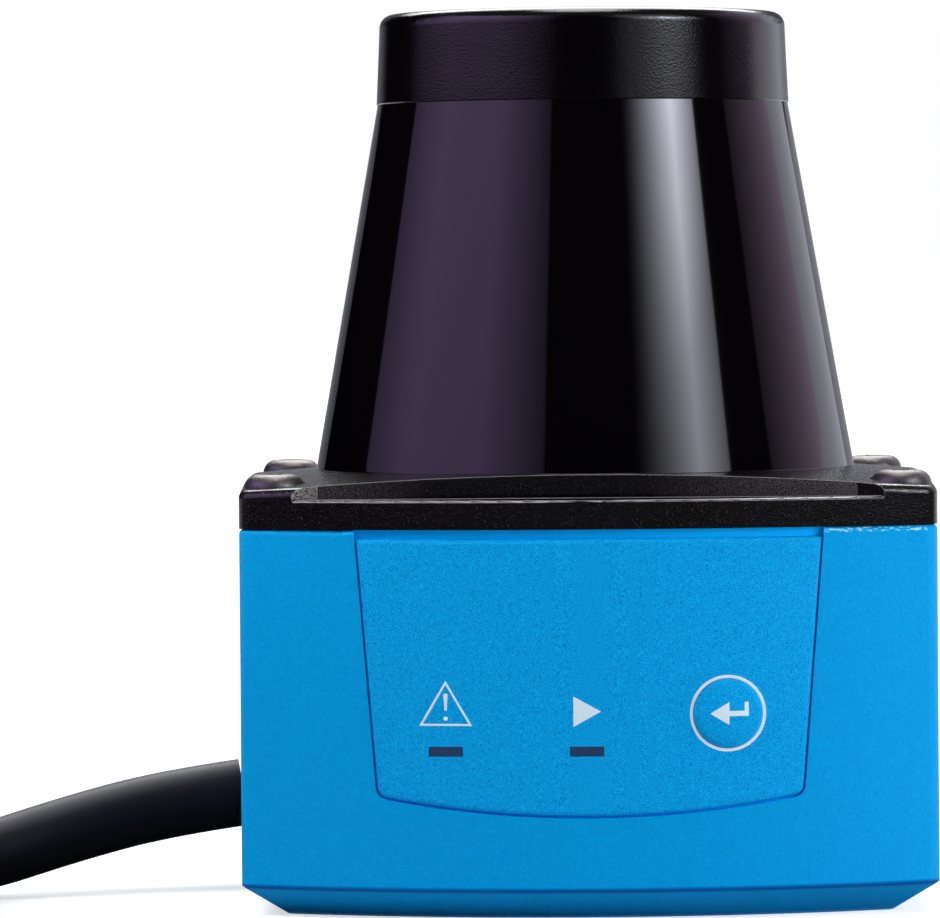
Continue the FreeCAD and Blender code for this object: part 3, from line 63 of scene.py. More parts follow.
def ramp(tree, value, start=0, end=1, low=0, high=1, ease="LINEAR"):
    """Run from low to high while a value goes from start to end."""
    made = tree.nodes.new("ShaderNodeMapRange")
    made.interpolation_type = ease
    tree.links.new(value, made.inputs["Value"])
    for name, limit in (("From Min", start), ("From Max", end), ("To Min", low), ("To Max", high)):
        feed(tree, limit, made.inputs[name])
    return made.outputs["Result"]


def clouds(tree, place, size, detail):
    """Noise with blotches of a size."""
    noise = tree.nodes.new("ShaderNodeTexNoise")
    noise.inputs["Scale"].default_value = 1 / size
    noise.inputs["Detail"].default_value = detail
    tree.links.new(place, noise.inputs["Vector"])
    return noise.outputs["Fac"]


def blend_tones(tree, share, deep, pale):
    """Colour the surface from a deep tone to a pale one, as a share says."""
    tones = tree.nodes.new("ShaderNodeMix")
    tones.data_type = "RGBA"
    tones.inputs["A"].default_value = (*deep, 1)
    tones.inputs["B"].default_value = (*pale, 1)
    tree.links.new(share, tones.inputs["Factor"])
    tree.links.new(tones.outputs["Result"], tree.nodes["Principled BSDF"].inputs["Base Color"])


def finish(
    name,
    pale,
    deep,
    blotch,
    grain,
    depth,
    rough,
    metallic=0.0,
    shine=0.5,
    tint=(1, 1, 1),
    drift=(0, 1),
):
    """Material whose colour drifts between two tones, with a fine grain that stands up by a depth."""
    made = bpy.data.materials.new(name)
    made.use_nodes = True
    tree = made.node_tree
    shader = tree.nodes["Principled BSDF"]
    shader.inputs["Metallic"].default_value = metallic
    shader.inputs["Specular IOR Level"].default_value = shine
    shader.inputs["Specular Tint"].default_value = (*tint, 1)
    place = tree.nodes.new("ShaderNodeTexCoord").outputs["Object"]
    blend_tones(tree, ramp(tree, clouds(tree, place, blotch, detail=4), *drift), deep, pale)
    fine = clouds(tree, place, grain, detail=2)
    tree.links.new(ramp(tree, fine, low=rough[0], high=rough[1]), shader.inputs["Roughness"])
    relief = tree.nodes.new("ShaderNodeBump")
    relief.inputs["Distance"].default_value = depth
    tree.links.new(fine, relief.inputs["Height"])
    tree.links.new(relief.outputs["Normal"], shader.inputs["Normal"])
    return made


def dress(material, *names):
    """Give nodes of the frame their finish."""
    for name in names:
        nodes[name].data.materials.clear()
        nodes[name].data.materials.append(material)


housing_paint = finish(
    "housing_paint",
    pale=(0.001, 0.34, 0.78),
    deep=(0.001, 0.205, 0.50),
    blotch=0.26 * mm,
    grain=0.22 * mm,
    depth=0.03 * mm,
    rough=(0.42, 0.56),
    shine=0.2,
    tint=(0.1, 0.6, 1),
)
dress(housing_paint, "housing")


def whereabouts(tree):
    """Place of a point on the piece, whole and as its x, y and z."""
    place = tree.nodes.new("ShaderNodeTexCoord").outputs["Object"]
    split = tree.nodes.new("ShaderNodeSeparateXYZ")
    tree.links.new(place, split.inputs["Vector"])
    return place, split.outputs["X"], split.outputs["Y"], split.outputs["Z"]


def reach_from(tree, place, axis_y):
    """Level distance from an upright axis in the middle of the width."""
    level = tree.nodes.new("ShaderNodeVectorMath")
    level.operation = "MULTIPLY_ADD"
    level.inputs[1].default_value = (1, 1, 0)
    level.inputs[2].default_value = (0, -axis_y, 0)
    tree.links.new(place, level.inputs[0])
    reach = tree.nodes.new("ShaderNodeVectorMath")
    reach.operation = "LENGTH"
    tree.links.new(level.outputs["Vector"], reach.inputs[0])
    return reach.outputs["Value"]


def reckon(tree, operation, *terms):
    """Result of a sum. Each term is a number or another node's output."""
    made = tree.nodes.new("ShaderNodeMath")
    made.operation = operation
    for term, socket in zip(terms, made.inputs):
        feed(tree, term, socket)
    return made.outputs["Value"]


def off_from(tree, value, middle):
    """How far a value lies from its middle, to either side."""
    return reckon(tree, "ABSOLUTE", reckon(tree, "SUBTRACT", value, middle))


def share_within(tree, limits, share=None):
    """A share, or all, where each value lies within a spread of its middle, and 0 elsewhere."""
    for value, middle, spread in limits:
        near = reckon(tree, "COMPARE", value, middle, spread)
        share = reckon(tree, "MULTIPLY", share, near) if share else near
    return share


def recolour(tree, share, colour):
    """Bring the material to another colour, as far as a share says."""
    base = tree.nodes["Principled BSDF"].inputs["Base Color"]
    mixed = tree.nodes.new("ShaderNodeMix")
    mixed.data_type = "RGBA"
    mixed.inputs["B"].default_value = (*colour, 1)
    tree.links.new(base.links[0].from_socket, mixed.inputs["A"])
    tree.links.new(share, mixed.inputs["Factor"])
    tree.links.new(mixed.outputs["Result"], base)


# Painted light: a paler blue in the groove round the panel, where shade falls.
GROOVE_HALF = 21 * mm
GROOVE_MIDDLE = 20.5 * mm
GROOVE_RISE = 13 * mm
GROOVE_DEPTH = 0.8 * mm
GROOVE_LIT_BLUE = (0.002, 0.42, 1.0)


def groove_painted_lighter(material, depth):
    """Painted light: the narrow groove round the panel, from a depth under the front, is painted paler to
    lift the shade that falls in it.
    """
    tree = material.node_tree
    place, x, _, z = whereabouts(tree)
    in_groove = [
        (x, 0, GROOVE_HALF),
        (z, GROOVE_MIDDLE, GROOVE_RISE),
        (reach_from(tree, place, front_axis), front_radius - depth - GROOVE_DEPTH, GROOVE_DEPTH),
    ]
    recolour(tree, share_within(tree, in_groove), GROOVE_LIT_BLUE)


groove_painted_lighter(housing_paint, depth=0.05 * mm)
# Painted highlight: pale streaks along the housing's top edge at the right, where the key light catches
# the rim.
STREAK_LENGTH = 0.5 * mm
STREAK_HEIGHT = 0.18 * mm
STREAK_EDGE = (0.5, 0.62)
RIM_HIGHLIGHT_X, RIM_HIGHLIGHT_HALF = 24.5 * mm, 4.6 * mm
RIM_HIGHLIGHT_Y, RIM_HIGHLIGHT_DEPTH = -26 * mm, 4 * mm
RIM_HIGHLIGHT_DROP, RIM_HIGHLIGHT_RISE = 0.3 * mm, 0.2 * mm
RIM_HIGHLIGHT_BLUE = (0.30, 0.68, 0.92)
tree = housing_paint.node_tree
place, x, y, z = whereabouts(tree)
stretched = tree.nodes.new("ShaderNodeMapping")
stretched.inputs["Scale"].default_value = (1 / STREAK_LENGTH, 1 / STREAK_LENGTH, 1 / STREAK_HEIGHT)
tree.links.new(place, stretched.inputs["Vector"])
highlight_streaks = clouds(tree, stretched.outputs["Vector"], size=1, detail=3)
right_rim = [
    (x, RIM_HIGHLIGHT_X, RIM_HIGHLIGHT_HALF),
    (y, RIM_HIGHLIGHT_Y, RIM_HIGHLIGHT_DEPTH),
    (z, housing_high.z - RIM_HIGHLIGHT_DROP, RIM_HIGHLIGHT_RISE),
]
recolour(tree, share_within(tree, right_rim, ramp(tree, highlight_streaks, *STREAK_EDGE)), RIM_HIGHLIGHT_BLUE)
# Painted shade: a thin darker line along the crease of the foot bevel.
FOOT_CREASE = 2.6 * mm
CREASE_END = 0.3 * mm
CREASE_CORE = 0.1 * mm
CREASE_SHADE_BLUE = (0.0005, 0.09, 0.36)
recolour(tree, ramp(tree, off_from(tree, z, FOOT_CREASE), CREASE_END, CREASE_CORE), CREASE_SHADE_BLUE)


# Electronics inside the housing: the main board on four spacers, the panel's board with its two lamps
# and the switch, the cable's header and wires, and the detector in its can.
board_green = finish(
    "board_green",
    pale=(0.02, 0.16, 0.06),
    deep=(0.01, 0.10, 0.04),
    blotch=2 * mm,
    grain=0.3 * mm,
    depth=0.01 * mm,
    rough=(0.3, 0.45),
)
dress(board_green, "main_board", "panel_board", "laser_board")
black_plastic = finish(
    "black_plastic",
    pale=(0.03, 0.03, 0.032),
    deep=(0.018, 0.018, 0.02),
    blotch=1.5 * mm,
    grain=0.15 * mm,
    depth=0.008 * mm,
    rough=(0.45, 0.6),
)
dress(black_plastic, "cable_header", "panel_header", "teach_switch", "switch_plunger")
dress(black_plastic, "encoder_sensor", "wire_harness")
spacer_brass = finish(
    "spacer_brass",
    pale=(0.80, 0.60, 0.28),
    deep=(0.66, 0.46, 0.18),
    blotch=1 * mm,
    grain=0.1 * mm,
    depth=0.003 * mm,
    rough=(0.25, 0.4),
    metallic=1.0,
)
dress(spacer_brass, "board_standoffs")
lamp_white = finish(
    "lamp_white",
    pale=(0.86, 0.84, 0.74),
    deep=(0.74, 0.72, 0.62),
    blotch=0.4 * mm,
    grain=0.1 * mm,
    depth=0.004 * mm,
    rough=(0.3, 0.4),
)
dress(lamp_white, "status_leds")
can_metal = finish(
    "can_metal",
    pale=(0.72, 0.70, 0.66),
    deep=(0.58, 0.56, 0.53),
    blotch=2 * mm,
    grain=0.08 * mm,
    depth=0.003 * mm,
    rough=(0.22, 0.36),
    metallic=1.0,
)
dress(can_metal, "detector", "laser_diode", "panel_screws", "carrier_screws")


# Optics and motor: a cast carrier that holds the receiving lens, the laser tube and the motor, and
# the spinning mirror on its shaft. Glass, a first-surface mirror, copper coils and ground steel.
carrier_metal = finish(
    "carrier_metal",
    pale=(0.50, 0.51, 0.53),
    deep=(0.40, 0.41, 0.43),
    blotch=3 * mm,
    grain=0.2 * mm,
    depth=0.01 * mm,
    rough=(0.4, 0.55),
    metallic=1.0,
)
dress(carrier_metal, "optics_carrier", "lens_retainer")
tube_black = finish(
    "tube_black",
    pale=(0.035, 0.034, 0.037),
    deep=(0.02, 0.02, 0.022),
    blotch=1 * mm,
    grain=0.1 * mm,
    depth=0.005 * mm,
    rough=(0.5, 0.7),
)
dress(tube_black, "receiver_baffle", "laser_tube", "mirror_carrier")
lens_glass = finish(
    "lens_glass",
    pale=(0.86, 0.93, 0.97),
    deep=(0.82, 0.90, 0.95),
    blotch=6 * mm,
    grain=2 * mm,
    depth=0.0005 * mm,
    rough=(0.02, 0.04),
)
shader = lens_glass.node_tree.nodes["Principled BSDF"]
shader.inputs["Transmission Weight"].default_value = 0.95
shader.inputs["IOR"].default_value = 1.52
dress(lens_glass, "receiver_lens", "collimator_lens", "detector_window")
mirror_face = finish(
    "mirror_face",
    pale=(0.92, 0.92, 0.94),
    deep=(0.90, 0.90, 0.92),
    blotch=4 * mm,
    grain=1 * mm,
    depth=0.0002 * mm,
    rough=(0.02, 0.04),
    metallic=1.0,
)
dress(mirror_face, "scan_mirror", "encoder_disc")
bearing_steel = finish(
    "bearing_steel",
    pale=(0.74, 0.74, 0.76),
    deep=(0.62, 0.62, 0.64),
    blotch=1 * mm,
    grain=0.06 * mm,
    depth=0.002 * mm,
    rough=(0.15, 0.28),
    metallic=1.0,
)
dress(bearing_steel, "motor_bearings", "rotor_shaft", "rotor_bell")
coil_copper = finish(
    "coil_copper",
    pale=(0.78, 0.34, 0.16),
    deep=(0.55, 0.20, 0.08),
    blotch=0.4 * mm,
    grain=0.12 * mm,
    depth=0.03 * mm,
    rough=(0.25, 0.4),
    metallic=1.0,
)
dress(coil_copper, "stator_coils")
core_iron = finish(
    "core_iron",
    pale=(0.22, 0.22, 0.24),
    deep=(0.14, 0.14, 0.15),
    blotch=1 * mm,
    grain=0.1 * mm,
    depth=0.01 * mm,
    rough=(0.4, 0.6),
    metallic=1.0,
)
dress(core_iron, "motor_stator", "rotor_magnet")
flex_amber = finish(
    "flex_amber",
    pale=(0.55, 0.26, 0.04),
    deep=(0.40, 0.17, 0.02),
    blotch=2 * mm,
    grain=0.3 * mm,
    depth=0.004 * mm,
    rough=(0.25, 0.38),
)
dress(flex_amber, "laser_flex", "motor_flex")


# Control panel: a thin moulded inset of the same blue, sunk flush in the front. It carries two smoked
# windows for the status lamps and the teach key, with pale symbols printed above and on them.
panel_blue = finish(
    "panel_blue",
    pale=(0.004, 0.43, 0.88),
    deep=(0.001, 0.16, 0.48),
    blotch=0.1 * mm,
    grain=0.12 * mm,
    depth=0.05 * mm,
    rough=(0.42, 0.56),
    shine=0.2,
    tint=(0.1, 0.6, 1),
    drift=(0.32, 0.68),
)
# Painted light: the panel's edges in the groove get the same paler blue.
groove_painted_lighter(panel_blue, depth=0.37 * mm)
dress(panel_blue, "front_panel")
window_smoke = finish(
    "window_smoke",
    pale=(0.022, 0.060, 0.17),
    deep=(0.006, 0.018, 0.06),
    blotch=0.18 * mm,
    grain=0.15 * mm,
    depth=0.006 * mm,
    rough=(0.25, 0.4),
)
dress(window_smoke, "light_pipes")
symbol_white = finish(
    "symbol_white",
    pale=(0.64, 0.77, 0.86),
    deep=(0.50, 0.67, 0.79),
    blotch=0.25 * mm,
    grain=0.12 * mm,
    depth=0.004 * mm,
    rough=(0.5, 0.6),
)
scene = bpy.context.scene
PRINT_THICKNESS = 0.02 * mm
PRINT_CUTS = 4
SAME_PLACE = 0.001 * mm


def on_front(x, z):
    """Depth of the bowed front at a place on it. It is the same at every height."""
    return front_axis - sqrt(front_radius**2 - x**2)


def printed(name, fields, surface, body):
    """Symbol of flat fields, each a ring of (x, z) corners, laid on a surface and carried by a body."""
    shape = bmesh.new()
    for field in fields:
        shape.faces.new([shape.verts.new((x, 0, z)) for x, z in field])
    bmesh.ops.triangulate(shape, faces=shape.faces)
    bmesh.ops.subdivide_edges(shape, edges=shape.edges, cuts=PRINT_CUTS, use_grid_fill=True)
    bmesh.ops.remove_doubles(shape, verts=shape.verts, dist=SAME_PLACE)
    for corner in shape.verts:
        corner.co.y = surface(corner.co.x, corner.co.z) - PRINT_THICKNESS / 4
    bmesh.ops.recalc_face_normals(shape, faces=shape.faces)
    mesh = bpy.data.meshes.new(name)
    shape.to_mesh(mesh)
    shape.free()
    mesh.materials.append(symbol_white)
    made = bpy.data.objects.new(name, mesh)
    scene.collection.objects.link(made)
    ink = made.modifiers.new("ink", "SOLIDIFY")
    ink.thickness = PRINT_THICKNESS
    ink.offset = 0
    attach(made, body)


def band(outer, inner):
    """Closed band between two rings of corners, as a row of fields."""
    count = len(outer)
    return [(outer[i], outer[(i + 1) % count], inner[(i + 1) % count], inner[i]) for i in range(count)]


def ring(x, z, radius, corners):
    """Corners of a circle round a place on the front."""
    turns = [i * 2 * pi / corners for i in range(corners)]
    return [(x + radius * cos(turn), z + radius * sin(turn)) for turn in turns]


WINDOW_WIDTH = 2.8 * mm
window_low, window_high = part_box("light_pipes")
fault_x = window_low.x + WINDOW_WIDTH / 2
run_x = window_high.x - WINDOW_WIDTH / 2

FAULT_HALF = 2.26 * mm
FAULT_APEX = 20.5 * mm
FAULT_BASE = 16.65 * mm
FAULT_STROKE = 0.18 * mm
slope = atan2(FAULT_APEX - FAULT_BASE, FAULT_HALF)
inset_x = FAULT_STROKE / tan(slope / 2)
inset_top = FAULT_STROKE / cos(slope)
sign = [(fault_x - FAULT_HALF, FAULT_BASE), (fault_x + FAULT_HALF, FAULT_BASE), (fault_x, FAULT_APEX)]
opening = [
    (fault_x - FAULT_HALF + inset_x, FAULT_BASE + FAULT_STROKE),
    (fault_x + FAULT_HALF - inset_x, FAULT_BASE + FAULT_STROKE),
    (fault_x, FAULT_APEX - inset_top),
]
BAR_FOOT, FOOT_HALF = 17.95 * mm, 0.09 * mm
BAR_SHOULDER, SHOULDER_HALF = 19.3 * mm, 0.19 * mm
BAR_TOP, TOP_HALF = 19.4 * mm, 0.12 * mm
bar_side = [(FOOT_HALF, BAR_FOOT), (SHOULDER_HALF, BAR_SHOULDER), (TOP_HALF, BAR_TOP)]
bar = [(fault_x + x, z) for x, z in bar_side] + [(fault_x - x, z) for x, z in reversed(bar_side)]
DOT_RADIUS = 0.19 * mm
DOT_Z = 17.27 * mm
DOT_CORNERS = 16
dot = ring(fault_x, DOT_Z, DOT_RADIUS, DOT_CORNERS)
printed("fault_symbol", band(sign, opening) + [bar, dot], on_front, "base")

RUN_WIDTH = 2.35 * mm
RUN_HALF = 1.3 * mm
RUN_BACK = 1.15 * mm
RUN_Z = 17.85 * mm
run_left = run_x - RUN_BACK
arrow = [(run_left, RUN_Z - RUN_HALF), (run_left + RUN_WIDTH, RUN_Z), (run_left, RUN_Z + RUN_HALF)]
printed("run_symbol", [arrow], on_front, "base")


# Teach key: a moulded push button with a low dome and a rounded shoulder, guided in a bore of the
# panel. A return arrow is printed on it, and a thin ring on the panel round it.
key_low, key_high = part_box("teach_button")
key_x = (key_low.x + key_high.x) / 2
key_z = (key_low.z + key_high.z) / 2
dress(panel_blue, "teach_button")
RING_OUTER = 3.26 * mm
RING_INNER = 2.99 * mm
RING_CORNERS = 64
outer_ring = ring(key_x, key_z, RING_OUTER, RING_CORNERS)
inner_ring = ring(key_x, key_z, RING_INNER, RING_CORNERS)
printed("teach_ring", band(outer_ring, inner_ring), on_front, "base")
KEY_RISE = 0.6 * mm
DOME_RADIUS = 14 * mm
key_lean = asin(key_x / front_radius)
dome_reach = front_radius + KEY_RISE - DOME_RADIUS
dome_x = dome_reach * sin(key_lean)
dome_y = front_axis - dome_reach * cos(key_lean)


def on_key(x, z):
    """Depth of the key's dome at a place on it."""
    return dome_y - sqrt(DOME_RADIUS**2 - (x - dome_x) ** 2 - (z - key_z) ** 2)


TIP_X = -1.53 * mm
NECK_X = 0.1 * mm
HEAD_HALF = 0.98 * mm
SHAFT_HALF = 0.22 * mm
LEG_LEFT = 1.4 * mm
LEG_RIGHT = 1.75 * mm
LEG_TOP = 0.97 * mm
head = [(TIP_X, 0), (NECK_X, -HEAD_HALF), (NECK_X, HEAD_HALF)]
shaft = [(NECK_X, -SHAFT_HALF), (LEG_RIGHT, -SHAFT_HALF), (LEG_RIGHT, SHAFT_HALF), (NECK_X, SHAFT_HALF)]
leg = [(LEG_LEFT, SHAFT_HALF), (LEG_RIGHT, SHAFT_HALF), (LEG_RIGHT, LEG_TOP), (LEG_LEFT, LEG_TOP)]
strokes = [[(key_x + x, key_z + z) for x, z in field] for field in (head, shaft, leg)]
printed("teach_arrow", strokes, on_key, "button")


# Hood: one black moulding on a rubber seal, that lets the beam out. Its cone is polished, its cap has
# a leathery grain and its flange is dulled and speckled, so one material changes from zone to zone.
seal_rubber = finish(
    "seal_rubber",
    pale=(0.04, 0.04, 0.04),
    deep=(0.025, 0.025, 0.025),
    blotch=1 * mm,
    grain=0.1 * mm,
    depth=0.01 * mm,
    rough=(0.6, 0.75),
)
dress(seal_rubber, "hood_gasket", "cable_gland")
CONE_FOOT = 23.92 * mm
SEAM = 70.1 * mm
STEP_HALF = 23.04 * mm
STEP_DEPTH = 5.6 * mm
ZONE_EDGE = 0.05 * mm
step_wall_y = housing_low.y + STEP_DEPTH
hood_foot = housing_high.z
hood_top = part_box("optical_hood")[1].z
hood_black = bpy.data.materials.new("hood_black")
hood_black.use_nodes = True
tree = hood_black.node_tree
shader = tree.nodes["Principled BSDF"]
shader.inputs["IOR"].default_value = 1.52
place, x, y, z = whereabouts(tree)
reach = reach_from(tree, place, 0)


def by_zone(flange, cone, cap):
    """Value that steps from the cone out to the flange and up to the cap."""
    outward = ramp(tree, reach, CONE_FOOT, CONE_FOOT + ZONE_EDGE, cone, flange)
    return ramp(tree, z, SEAM, SEAM + ZONE_EDGE, outward, cap)


LEATHER_GRAIN = 0.17 * mm
LEATHER_DEPTH = 0.025 * mm
EDGE_ROUND_WIDTH = 0.1 * mm
leather = clouds(tree, place, LEATHER_GRAIN, detail=2)
rounded_edge = tree.nodes.new("ShaderNodeBevel")
rounded_edge.samples = 6
rounded_edge.inputs["Radius"].default_value = EDGE_ROUND_WIDTH
relief = tree.nodes.new("ShaderNodeBump")
relief.inputs["Distance"].default_value = LEATHER_DEPTH
tree.links.new(rounded_edge.outputs["Normal"], relief.inputs["Normal"])
tree.links.new(by_zone(flange=1.0, cone=0.004, cap=0.65), relief.inputs["Strength"])
tree.links.new(leather, relief.inputs["Height"])
tree.links.new(relief.outputs["Normal"], shader.inputs["Normal"])
rough = by_zone(flange=0.22, cone=0.06, cap=0.14)
TOP_ROUGHNESS = 0.6
TOP_EDGE = 0.03 * mm
dulled_top = ramp(tree, z, hood_top - 2 * TOP_EDGE, hood_top - TOP_EDGE, rough, TOP_ROUGHNESS)
tree.links.new(dulled_top, shader.inputs["Roughness"])

# Painted light: toward the ends of the flange's step wall, its grain is painted grey as if the key light
# caught it.
SPECKLE_GRAIN = 0.11 * mm
SPECKLE_EDGE = (0.35, 0.65)
LIT_MIDDLE = -4.3 * mm
LIT_START = 9 * mm
LIT_FULL = 27 * mm
STEP_LIT_GREY = (0.115, 0.095, 0.120)
FACE_SPREAD = 0.02 * mm
grain = clouds(tree, place, SPECKLE_GRAIN, detail=2)
blend_tones(tree, grain, deep=(0.0006, 0.0004, 0.0007), pale=(0.0016, 0.001, 0.0018))
speckle = ramp(tree, grain, *SPECKLE_EDGE)
lit_speckle = ramp(tree, off_from(tree, x, LIT_MIDDLE), LIT_START, LIT_FULL, 0, speckle)
step_wall = [(x, 0, STEP_HALF), (y, step_wall_y, FACE_SPREAD)]
recolour(tree, share_within(tree, step_wall, lit_speckle), STEP_LIT_GREY)

# Painted light: the upright left end of the step is painted a speckled grey, as if lit.
END_HALF_WIDTH = 1.2 * mm
END_HALF_DEPTH = 2.2 * mm
END_RISE, END_HALF_HEIGHT = 3.7 * mm, 1.15 * mm
UPRIGHT = 0.3
STEP_END_LIT_GREY = (0.28, 0.26, 0.28)
face_normal = tree.nodes.new("ShaderNodeNewGeometry").outputs["True Normal"]
facing = tree.nodes.new("ShaderNodeSeparateXYZ")
tree.links.new(face_normal, facing.inputs["Vector"])
left_step_end = [
    (x, -STEP_HALF - END_HALF_WIDTH, END_HALF_WIDTH - FACE_SPREAD),
    (y, step_wall_y - END_HALF_DEPTH, END_HALF_DEPTH - FACE_SPREAD),
    (z, hood_foot + END_RISE, END_HALF_HEIGHT),
    (facing.outputs["Z"], 0, UPRIGHT),
]
recolour(tree, share_within(tree, left_step_end, speckle), STEP_END_LIT_GREY)

# Painted highlight: where the edge rounding turns the flange's upper edges, they are painted a pale grey,
# as light catching them.
HIGHLIGHT_TURN = (0.99, 0.90)
HIGHLIGHT_RISE, HIGHLIGHT_HALF_HEIGHT = 4.2 * mm, 1.9 * mm
EDGE_HIGHLIGHT_GREY = (0.32, 0.31, 0.34)
GLINT_EDGE = (0.62, 0.72)
GLINT_GREY = (0.05, 0.045, 0.05)
FLANGE_GAP = 0.3 * mm
turned = tree.nodes.new("ShaderNodeVectorMath")
turned.operation = "DOT_PRODUCT"
tree.links.new(rounded_edge.outputs["Normal"], turned.inputs[0])
tree.links.new(face_normal, turned.inputs[1])
edge_highlight = ramp(tree, turned.outputs["Value"], *HIGHLIGHT_TURN)
on_flange = (reach, 2 * CONE_FOOT, CONE_FOOT - FLANGE_GAP)
upper_edges = (z, hood_foot + HIGHLIGHT_RISE, HIGHLIGHT_HALF_HEIGHT)
recolour(tree, share_within(tree, [on_flange, upper_edges], edge_highlight), EDGE_HIGHLIGHT_GREY)
recolour(tree, share_within(tree, [on_flange], ramp(tree, grain, *GLINT_EDGE)), GLINT_GREY)
dress(hood_black, "optical_hood")


# Flange screws: four pan-head steel screws with a six-lobed socket, zinc plated to a satin grey, that
# hold the hood and its seal on the housing's corner columns.
screw_steel = finish(
    "screw_steel",
    pale=(0.22, 0.208, 0.205),
    deep=(0.08, 0.072, 0.07),
    blotch=0.3 * mm,
    grain=0.12 * mm,
    depth=0.015 * mm,
    rough=(0.36, 0.56),
    metallic=1.0,
)
dress(screw_steel, "flange_screws")


# Coil tie: a strap of black woven tape pulled round the four turns of the coil. Its corners follow the
# round of the cable and its edges are sealed.
tie_low, tie_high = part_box("coil_tie")
TIE_THICKNESS = 0.6 * mm
TIE_CORNER = 3.6 * mm
TIE_EDGE = 0.15 * mm
TIE_CREASE = radians(30)
QUARTER_STEPS = 8
tie_middle = (tie_low.x + tie_high.x) / 2
tie_half = (tie_high.x - tie_low.x) / 2
one_edge = [
    (tie_half - TIE_EDGE, TIE_THICKNESS),
    (tie_half, TIE_THICKNESS - TIE_EDGE),
    (tie_half, TIE_EDGE),
    (tie_half - TIE_EDGE, 0),
]
tie_section = one_edge + [(-x, depth) for x, depth in reversed(one_edge)]
near_y, far_y = tie_low.y + TIE_CORNER, tie_high.y - TIE_CORNER
under_z, over_z = tie_low.z + TIE_CORNER, tie_high.z - TIE_CORNER
tie_corners = [(far_y, over_z), (near_y, over_z), (near_y, under_z), (far_y, under_z)]
shape = bmesh.new()
stations = []
for quarter, (y, z) in enumerate(tie_corners):
    for step in range(QUARTER_STEPS + 1):
        angle = (quarter + step / QUARTER_STEPS) * pi / 2
        outward = Vector((0, cos(angle), sin(angle)))
        stations.append([
            shape.verts.new(Vector((tie_middle + x, y, z)) + outward * (TIE_CORNER - depth))
            for x, depth in tie_section
        ])
for i, station in enumerate(stations):
    following = stations[(i + 1) % len(stations)]
    for j in range(len(tie_section)):
        k = (j + 1) % len(tie_section)
        shape.faces.new((station[j], station[k], following[k], following[j])).smooth = True
bmesh.ops.recalc_face_normals(shape, faces=shape.faces)
tie_mesh = bpy.data.meshes.new("coil_strap")
shape.to_mesh(tie_mesh)
shape.free()
tie_mesh.set_sharp_from_angle(angle=TIE_CREASE)
tie = bpy.data.objects.new("coil_strap", tie_mesh)
scene.collection.objects.link(tie)
tape_black = finish(
    "tape_black",
    pale=(0.036, 0.035, 0.037),
    deep=(0.012, 0.012, 0.013),
    blotch=0.3 * mm,
    grain=0.25 * mm,
    depth=0.06 * mm,
    rough=(0.7, 0.85),
    drift=(0.3, 0.7),
)
tie_mesh.materials.append(tape_black)
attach(tie, "base")
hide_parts("coil_tie")


# Cable: 0.9 m of round black jacketed lead. It leaves the left wall through a rubber gland, drops to
# the floor and runs into a tied coil of four turns. Its end lies behind the coil with the plug on it.
CABLE_RADIUS = 3 * mm
# The points of the route, the coil's place and its turns (radius and height) are in millimetres.
LEAD = [
    (-30.8, 2, 8.85),
    (-37.5, 1.5, 7.95),
    (-45.5, -0.6, 6.05),
    (-55.5, -4.1, 3.05),
    (-66, -5.9, 3.05),
    (-77, -5.4, 3.5),
]
TAIL = [
    (-55.6, -28.5, 9.7),
    (-58.5, -13.1, 11),
    (-69.3, 1.2, 10.4),
    (-85.7, 8.2, 7.9),
    (-100.5, 9.5, 7.5),
]
COIL_X, COIL_Y = -90, -40
TURNS = [(34, 3.6), (28, 3.6), (28, 9.6), (34, 9.6)]
TURN_POINTS = 24
FIRST_ANGLE = 80
LAST_ANGLE = 360 * len(TURNS)
SHIFT_FROM = 0.8
# Over the last fifth of a turn the cable eases across to the next one.
coil = []
for step in range(int((LAST_ANGLE - FIRST_ANGLE) * TURN_POINTS / 360) + 1):
    angle = FIRST_ANGLE + step * 360 / TURN_POINTS
    turned_by = (angle - FIRST_ANGLE) / 360
    turn = min(int(turned_by), len(TURNS) - 1)
    following = min(turn + 1, len(TURNS) - 1)
    shifted = max(0, (turned_by - turn - SHIFT_FROM) / (1 - SHIFT_FROM))
    eased = shifted * shifted * (3 - 2 * shifted)
    radius, height = (now + (then - now) * eased for now, then in zip(TURNS[turn], TURNS[following]))
    coil.append((COIL_X + radius * cos(radians(angle)), COIL_Y + radius * sin(radians(angle)), height))
line = bpy.data.curves.new("cable_jacket", "CURVE")
line.dimensions = "3D"
line.bevel_depth = CABLE_RADIUS
line.bevel_resolution = 10
line.resolution_u = 10
line.use_fill_caps = True
route = line.splines.new("NURBS")
points = LEAD + coil + TAIL
route.points.add(len(points) - 1)
for point, where in zip(route.points, points):
    point.co = (*(Vector(where) * mm), 1)
route.order_u = 3
route.use_endpoint_u = True
cable = bpy.data.objects.new("cable_jacket", line)
scene.collection.objects.link(cable)
cable_jacket = finish(
    "cable_jacket",
    pale=(0.009, 0.008, 0.010),
    deep=(0.004, 0.0035, 0.005),
    blotch=0.8 * mm,
    grain=0.18 * mm,
    depth=0.008 * mm,
    rough=(0.42, 0.52),
    shine=0.24,
    tint=(0.8, 0.84, 1.0),
)
line.materials.append(cable_jacket)
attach(cable, "base")
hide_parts("cable", "cable_coil", "cable_tail")


# Plug: a moulded body round the cable's end, with a pressed metal collar, a plastic insert that holds
# gold-plated pins, and two knurled screws that hold it in its socket.
dress(black_plastic, "plug_body", "plug_insert")
dress(can_metal, "plug_collar", "plug_thumbscrews")
pin_gold = finish(
    "pin_gold",
    pale=(0.90, 0.66, 0.25),
    deep=(0.80, 0.55, 0.18),
    blotch=0.5 * mm,
    grain=0.08 * mm,
    depth=0.002 * mm,
    rough=(0.18, 0.28),
    metallic=1.0,
)
dress(pin_gold, "plug_pins")


